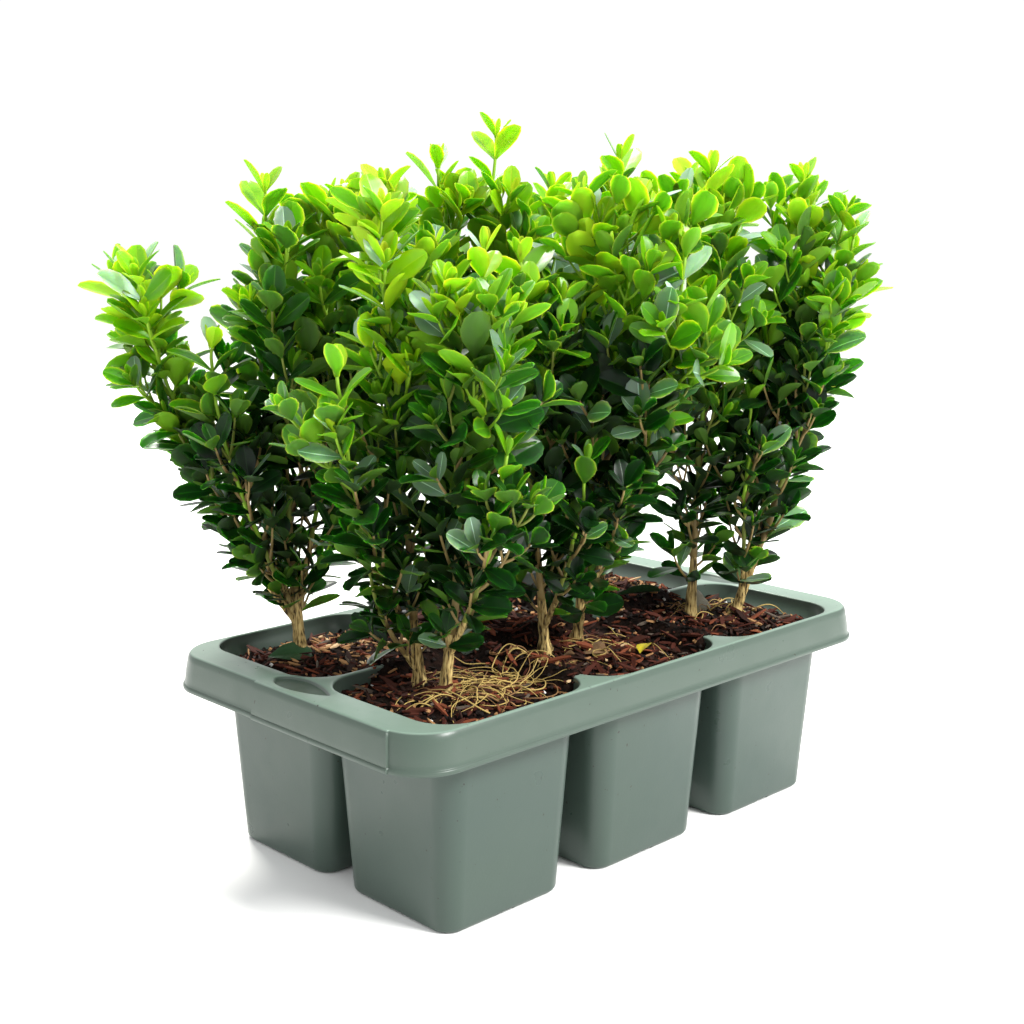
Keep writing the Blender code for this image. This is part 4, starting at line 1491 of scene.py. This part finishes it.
def depthInside(point):
    # 0 on the crown's outside, 1 deep inside it, where the painted shade is darkest
    flat = point - trayMiddle
    fromSide, fromTop = growth["shadeDepth"]
    sides = [(cadBox[1][k] - abs(flat[k])) / fromSide for k in (0, 1)]
    return min(1, max(0, min(*sides, (crownTop - point.z) / fromTop)))


def edgeShare(point):
    # 0 well inside the crown, 1 near its sides
    flat = point - trayMiddle
    return smoothStep(*growth["edgeFrom"], max(abs(flat[k]) / cadBox[1][k] for k in (0, 1)))


class Room:
    # a grid of points already taken, so that leaves keep apart

    def __init__(self, cell):
        self.cell = cell
        self.taken = {}

    def keyOf(self, point):
        return tuple(math.floor(v / self.cell) for v in point)

    def isFree(self, points, gap):
        for point in points:
            x, y, z = self.keyOf(point)
            for i in (x - 1, x, x + 1):
                for j in (y - 1, y, y + 1):
                    for k in (z - 1, z, z + 1):
                        for other in self.taken.get((i, j, k), ()):
                            if (other - point).length_squared < gap * gap:
                                return False
        return True

    def take(self, points):
        for point in points:
            self.taken.setdefault(self.keyOf(point), []).append(point)


room = Room(growth["roomCell"])
leaves = {plant: [] for plant in shrubs}
twigs = {plant: Heap() for plant in shrubs}


def leafTint(tone, rng, high):
    names = list(leafTints)
    more, few = growth["sheen"]
    # some leaves take a painted sky reflection in place of their tone's tint
    if 0 < high and rng.random() < few + (more - few) * high:
        return names.index("sheenPale" if tone > growth["paintedSheenPaleFrom"] else "sheenDeep")
    for index, limit in enumerate(growth["toneSteps"]):
        if tone > limit:
            return index
    return len(growth["toneSteps"])


def leafFacing(axis, ahead, high, roll):
    # away from its stem, and lower down more towards the light
    face = axis - ahead * axis.dot(ahead)
    face = (face.normalized() + upward * leafRule["toLight"] * (1 - high)).normalized()
    face = (face - ahead * face.dot(ahead)).normalized()
    return face * math.cos(roll) + ahead.cross(face) * math.sin(roll)


def leafProbes(point, ahead, face, size):
    # three points along a leaf, the last at its tip, and two at its sides
    across = ahead.cross(face)
    half = size * growth["leafWidth"] / 2
    near = [point + ahead * size * s for s in leafRule["probes"]]
    return near + [point + ahead * size * leafRule["probeSides"] + across * half * s for s in (-1, 1)]


def leafFits(near):
    if min(p.z for p in near) < tray["height"] + growth["lowestLeaf"]:
        return False
    if near[2].z > crownTop + growth["overTop"]:
        return False
    if min(roomInside(p) for p in near) < -growth["leafBeyond"]:
        return False
    return room.isFree(near, growth["leafApart"])


def addLeaf(plant, rng, point, axis, turn, spread, length, tone):
    # takes the first size and direction that keeps clear, or leaves this leaf out
    side = axis.orthogonal().normalized()
    other = axis.cross(side)
    high = levelOf(point)
    length *= rng.uniform(*leafRule["length"])
    spread += rng.uniform(*leafRule["spread"])
    roll = rng.uniform(*leafRule["roll"])
    tone += rng.uniform(-growth["leafChange"], growth["leafChange"])
    shape = tuple(rng.uniform(*leafRule[part]) for part in ("width", "cup", "droop"))
    for share in leafRule["sizes"]:
        for aside, narrower in leafRule["tries"]:
            out = side * math.cos(turn + aside) + other * math.sin(turn + aside)
            ahead = (axis * math.cos(spread * narrower) + out * math.sin(spread * narrower)).normalized()
            if ahead.z < leafRule["lowestAim"]:
                continue
            face = leafFacing(axis, ahead, high, roll)
            size = length * share
            near = leafProbes(point, ahead, face, size)
            if leafFits(near):
                room.take(near)
                leaves[plant].append((point, ahead, face, size, shape, leafTint(tone, rng, high)))
                return


def addPair(plant, rng, point, axis, turn, spread, length, tone):
    for half in (0, math.pi):
        addLeaf(plant, rng, point, axis, turn + half, spread, length, tone)


def runPoint(run, share):
    at = share * (len(run) - 1)
    k = min(int(at), len(run) - 2)
    return run[k].lerp(run[k + 1], at - k), (run[k + 1] - run[k]).normalized()


def growTwig(plant, rng, start, direction, length, turn, tone, radius, finer, ceiling):
    if length < twigRule["shortest"]:
        return False
    steps = max(twigRule["leastSteps"], round(length / twigRule["step"]))
    run = [start]
    ahead = direction.copy()
    rise = rng.uniform(*twigRule["rise"])
    for _ in range(steps):
        ahead = (ahead + upward * rise / steps).normalized()
        run.append(run[-1] + ahead * length / steps)
    if run[-1].z > ceiling or roomInside(run[-1]) < growth["twigWithin"]:
        return False
    if not room.isFree(run[2:], growth["twigApart"]):
        return False
    slot = sum(tone > limit for limit in twigRule["greenFrom"])
    radii = [radius + (twigRule["tipRadius"] - radius) * k / steps for k in range(steps + 1)]
    tube(twigs[plant], run, radii, twigRule["sides"], slot, closeStart=False)
    room.take(run[1::2])
    pairs = max(1, round(length / twigRule["pairSpacing"]))
    leastSize, moreSize = twigRule["leafSize"]
    wide, narrower = twigRule["spread"]
    for pair in range(pairs):
        share = (pair + twigRule["firstPair"]) / pairs
        turn += math.pi / 2 + rng.uniform(-twigRule["turnVaries"], twigRule["turnVaries"])
        point, axis = runPoint(run, share)
        size = leafSize(point) * (leastSize + moreSize * math.sin(math.pi * share))
        if finer and pair in twigRule["finerPairs"] and length > twigRule["finerFrom"]:
            thinner = radius * twigRule["finerRadius"]
            for half in (0, math.pi):
                heading = leaned(axis, sideways(axis, turn + half), rng.uniform(*twigRule["finerLean"]))
                part = length * rng.uniform(*twigRule["finerLength"])
                darker = tone - twigRule["finerDarker"]
                if not growTwig(plant, rng, point, heading, part, turn, darker, thinner, False, ceiling):
                    addLeaf(plant, rng, point, axis, turn + half, 1.0, size, tone)
        else:
            spread = spreadOf(point) * (wide - narrower * share)
            addPair(plant, rng, point, axis, turn, spread, size, tone + twigRule["tipLighter"] * share)
    axis = (run[-1] - run[-2]).normalized()
    closeTip(plant, rng, run[-1], axis, turn + math.pi / 2, tone + growth["youngTip"])
    return True


def closeTip(plant, rng, point, axis, turn, tone):
    # a shoot ends in one open pair and two young leaves that still stand closed
    high = levelOf(point)
    size = leafSize(point) * tipRule["openSize"]
    addPair(plant, rng, point, axis, turn, tipRule["openSpread"], size, tone)
    if high > tipRule["closedFrom"] or rng.random() < tipRule["closedShare"]:
        size = leafSize(point) * rng.uniform(*tipRule["closedSize"])
        for half in (0, math.pi):
            out = sideways(axis, turn + math.pi / 2 + half)
            ahead = (axis + out * tipRule["closedLean"]).normalized()
            face = (axis - ahead * axis.dot(ahead)).normalized()
            shape = (rng.uniform(*tipRule["closedWidth"]), tipRule["closedCup"], tipRule["closedDroop"])
            root = point + out * tipRule["closedApart"]
            tint = leafTint(tone + tipRule["closedLighter"], rng, 0)
            leaves[plant].append((root, ahead, face, size, shape, tint))


def sideways(axis, turn):
    side = axis.orthogonal().normalized()
    return side * math.cos(turn) + axis.cross(side) * math.sin(turn)


def leaned(axis, out, degrees):
    lean = math.radians(degrees)
    return (axis * math.cos(lean) + out * math.sin(lean)).normalized()


def byLevel(table, level):
    return float(np.interp(level, *zip(*growth[table])))


def reachShare(shoot, point, out):
    # near the crown's edge, twigs that lean out of it are shorter, and those that lean in longer
    level = levelOf(point)
    outer, inner = byLevel("outerShorter", level), growth["innerLonger"]
    if shoot["mass"] in growth["ownReach"]:
        levels, outers, inners = zip(*growth["ownReach"][shoot["mass"]])
        outer, inner = float(np.interp(level, levels, outers)), float(np.interp(level, levels, inners))
    outward = out.xy.dot((point - trayMiddle).xy.normalized()) * edgeShare(point)
    return 1 - outer * max(0, outward) + inner * max(0, -outward)


def leafSize(point):
    low, high = growth["leafLength"]
    return low + (high - low) * levelOf(point)


def spreadOf(point):
    low, high = growth["pairSpread"]
    return low + (high - low) * levelOf(point)


def growLowTwigs(shoot, rng):
    # short leafy twigs on the bare wood under the first joint
    plant, low = shoot["plant"], lowTwigs
    rise = shoot["tip"].z - shoot["start"].z
    height = low["from"] if shoot["kind"] == "trunk" else low["every"]
    turn = rng.uniform(0, math.tau)
    while height < rise * shoot["limbShare"]:
        point = shootPoint(shoot, height / rise)
        axis = (shootPoint(shoot, height / rise + low["ahead"]) - point).normalized()
        turn += low["turn"]
        out = sideways(axis, turn)
        heading = leaned(axis, out, rng.uniform(*low["lean"]))
        length = rng.uniform(*low["length"]) * reachShare(shoot, point, out)
        growTwig(plant, rng, point, heading, length, turn, low["tone"], low["radius"], False, crownTop)
        height += low["every"] * rng.uniform(*low["everyVaries"])


def stemRun(shoot, rng, shares):
    # the stem's curve from the top of its limb to its tip, with a slight sway
    shift = Vector((rng.uniform(0, growth["swayShift"]), rng.uniform(0, growth["swayShift"]), 0))
    run = []
    for k, share in enumerate(shares):
        along = shift + Vector((share * growth["swayEvery"], 0, 0))
        sway = Vector((noise.noise(along), noise.noise(along + upward * growth["swayApart"]), 0))
        run.append(shootPoint(shoot, share) + sway * growth["wobble"] * min(1, k / growth["swayFrom"]))
    return run


def growShoot(shoot, own):
    plant = shoot["plant"]
    rng = random.Random(growth["seed"] * 1000 + own)
    growLowTwigs(shoot, rng)
    first = shoot["limbShare"]
    length = (shoot["tip"] - shootPoint(shoot, first)).length
    count = max(8, round(length / growth["stemStep"]))
    shares = [first + (1 - first) * k / count for k in range(count + 1)]
    run = stemRun(shoot, rng, shares)
    radii = [shootRadius(shoot, share) for share in shares]
    olive, green = growth["stemGreen"][shoot["kind"]]

    def stemSlot(along):
        level = levelOf(runPoint(run, along)[0])
        return 0 if level < olive else 1 if level < green else 2

    tube(twigs[plant], run, radii, growth["stemSides"], stemSlot, growth["stemRelief"])
    nodes = max(3, round(length / growth["nodeSpacing"]))
    turn = rng.uniform(0, math.pi)
    ceiling = shoot["tip"].z - growth["ownBelowTip"].get(shoot["mass"], growth["belowTip"])
    for node in range(nodes + 1):
        share = (node + growth["firstNode"]) / (nodes + growth["firstNode"])
        point, axis = runPoint(run, share)
        high = levelOf(point)
        turn += math.pi / 2 + rng.uniform(-growth["nodeTurn"], growth["nodeTurn"])
        tone = toneOf(shoot, point, share)
        if node == nodes:
            closeTip(plant, rng, run[-1], axis, turn, tone + growth["youngTip"])
        elif share < 1 - growth["bareTop"] and (node % 2 == 0 or high < growth["bushyBelow"]):
            growJoint(shoot, rng, point, axis, turn, tone, ceiling)
        else:
            addPair(plant, rng, point, axis, turn, spreadOf(point), leafSize(point), tone)


def growJoint(shoot, rng, point, axis, turn, tone, ceiling):
    # a side twig on either side, in the first direction that is free, with a leaf under it
    plant, high, radius = shoot["plant"], levelOf(point), growth["twigRadius"]
    for half in (0, math.pi):
        size = byLevel("twigLength", high) * rng.uniform(*growth["twigVaries"])
        for aside, shorter in growth["twigTries"]:
            out = sideways(axis, turn + half + aside)
            heading = leaned(axis, out, rng.uniform(*growth["twigLean"]) - growth["twigRise"] * high)
            length = size * (shorter * reachShare(shoot, point, out))
            twigTone = tone + rng.uniform(-growth["twigChange"], growth["twigChange"])
            if growTwig(plant, rng, point, heading, length, turn, twigTone, radius, True, ceiling):
                break
        addLeaf(plant, rng, point, axis, turn + half, growth["jointSpread"], leafSize(point), tone)


def toneOf(shoot, point, share):
    # the level's tone, partly painted light and shade, lighter towards the tip, less the painted shade deep
    # inside the crown
    tone = byLevel("tone", levelOf(point)) + growth["ownTone"].get(shoot["plant"], 0)
    return tone + growth["tipLighter"] * share - growth["innerShade"] * depthInside(point)


leafShape = {
    # along the leaf, and its half width there, as shares of its length and of its half width
    "stations": ((0.0, 0.07), (0.17, 0.40), (0.38, 0.84), (0.60, 1.0), (0.82, 0.80), (0.955, 0.38)),
    # across, as a share of the half width, and how far it rises there
    "upper": ((-1, 0.02), (-0.52, 0.08), (-0.05, 0.0), (0.05, 0.0), (0.52, 0.08), (1, 0.02)),
    "lower": ((-0.52, 0.08), (0, 0.0), (0.52, 0.08)),
    "tip": 0.975,
    "thickness": 0.00035,
    "sharpFrom": 50,
}


def leafTemplate():
    # rows of points over the upper face, the tip, then rows over the lower face between the same edges
    stations = leafShape["stations"]
    upper = [(u, v * w, rise * w, 0) for u, w in stations for v, rise in leafShape["upper"]]
    tip = len(upper)
    upper.append((leafShape["tip"], 0, 0, 0))
    lower = [(u, v * w, rise * w, 1) for u, w in stations for v, rise in leafShape["lower"]]
    wide, under = len(leafShape["upper"]), len(leafShape["lower"])

    def lowerRow(k):
        first = tip + 1 + k * under
        return [k * wide, *range(first, first + under), (k + 1) * wide - 1]

    faces, kinds = [], []
    for k in range(len(stations) - 1):
        for j in range(wide - 1):
            a = k * wide + j
            faces.append((a, a + 1, a + wide + 1, a + wide))
            kinds.append(1 if j == 2 else 0)
        near, far = lowerRow(k), lowerRow(k + 1)
        for j in range(under + 1):
            faces.append((near[j + 1], near[j], far[j], far[j + 1]))
            kinds.append(2)
    last = (len(stations) - 1) * wide
    faces += [(last + j, last + j + 1, tip) for j in range(wide - 1)]
    kinds += [0] * (wide - 1)
    row = lowerRow(len(stations) - 1)
    faces += [(row[j + 1], row[j], tip) for j in range(under + 1)]
    kinds += [2] * (under + 1)
    faces.append((*range(wide - 1, -1, -1), *lowerRow(0)[1:-1]))
    kinds.append(2)
    return np.array(upper + lower), faces, kinds


def makeLeaves(name, table, tints, sidesOf):
    # each leaf is its root, its direction, the way it faces, its length, its shape and its tint
    points, faces, kinds = leafTemplate()
    root, ahead, face = (np.array([tuple(leaf[k]) for leaf in table])[:, None] for k in range(3))
    across = np.cross(ahead, face)
    size = np.array([leaf[3] for leaf in table])[:, None]
    wide, cup, droop = np.array([leaf[4] for leaf in table]).T[:, :, None]
    half = size * growth["leafWidth"] / 2 * wide
    along, aside, rise, below = points.T[:, None]
    bend = (rise + np.abs(aside) * cup) * half - droop * along**2 * size
    bend -= below * leafShape["thickness"]
    place = root + ahead * (along * size)[..., None] + across * (aside * half)[..., None]
    place = place + face * bend[..., None]
    allFaces, slots = [], []
    for k, leaf in enumerate(table):
        choice = sidesOf(leaf[5])
        first = k * len(points)
        allFaces.extend(tuple(first + c for c in corners) for corners in faces)
        slots.extend(choice[kind] for kind in kinds)
    return newObject(name, place.reshape(-1, 3), allFaces, tints, slots, True, leafShape["sharpFrom"])


def leafSides(upper):
    # the tints of the upper face, the midrib and the underside
    return upper, leafRibs[upper], len(leafTints) + leafBacks[upper]


def leafMaterials():
    for name, colour in leafTints.items():
        finish = leafFinish
        if colour[1] < dullLeaves["below"]:
            finish = {**leafFinish, "specular": leafFinish["specular"] * dullLeaves["share"]}
        grained(name, colour, finish, **leafGlow)
    for name, colour in underTints.items():
        grained(name, colour, underFinish, **leafGlow)
    for name, colour in twigTints.items():
        grained(name, colour, stemFinish)


addCamera()
addStudio()
print("camera, floor and light")

skin = makeTray()
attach(skin, "root")
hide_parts("tray")
print("tray", len(skin.data.polygons), "faces")

pottingSoil()
for row, column in cells:
    ball = makeSoil(row, column)
    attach(ball, "root")
    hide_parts(f"root_ball_{row}_{column}")
print("soil")
for piece, finish in ((makeBed(), "soil"), (makeChips(), "bark"), (makeRootlets(), "bark")):
    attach(piece, "root")
    print(piece.name, len(piece.data.polygons), "faces")
fallen = makeLitter()
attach(fallen, "root")
dryStick = makeStick()
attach(dryStick, "root")
print("fallen leaves and a stick")

barkSkin()
leafMaterials()
leafSkins = [bpy.data.materials[name] for name in (*leafTints, *underTints)]
shoots = planShoots()
for own, shoot in enumerate(shoots):
    growShoot(shoot, own)
for plant in shrubs:
    makeBark(plant, [shoot for shoot in shoots if shoot["plant"] == plant])
    masses = [shoot["mass"] for shoot in shoots if shoot["plant"] == plant]
    twigMesh = twigs[plant].build(f"twigs_{plant}", [bpy.data.materials[name] for name in twigTints])
    leafMesh = makeLeaves(f"leaves_{plant}", leaves[plant], leafSkins, leafSides)
    for piece in (leafMesh, twigMesh):
        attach(piece, "root")
        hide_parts(*masses)
    print(plant, len(leaves[plant]), "leaves")
print(sum(len(table) for table in leaves.values()), "leaves in all")
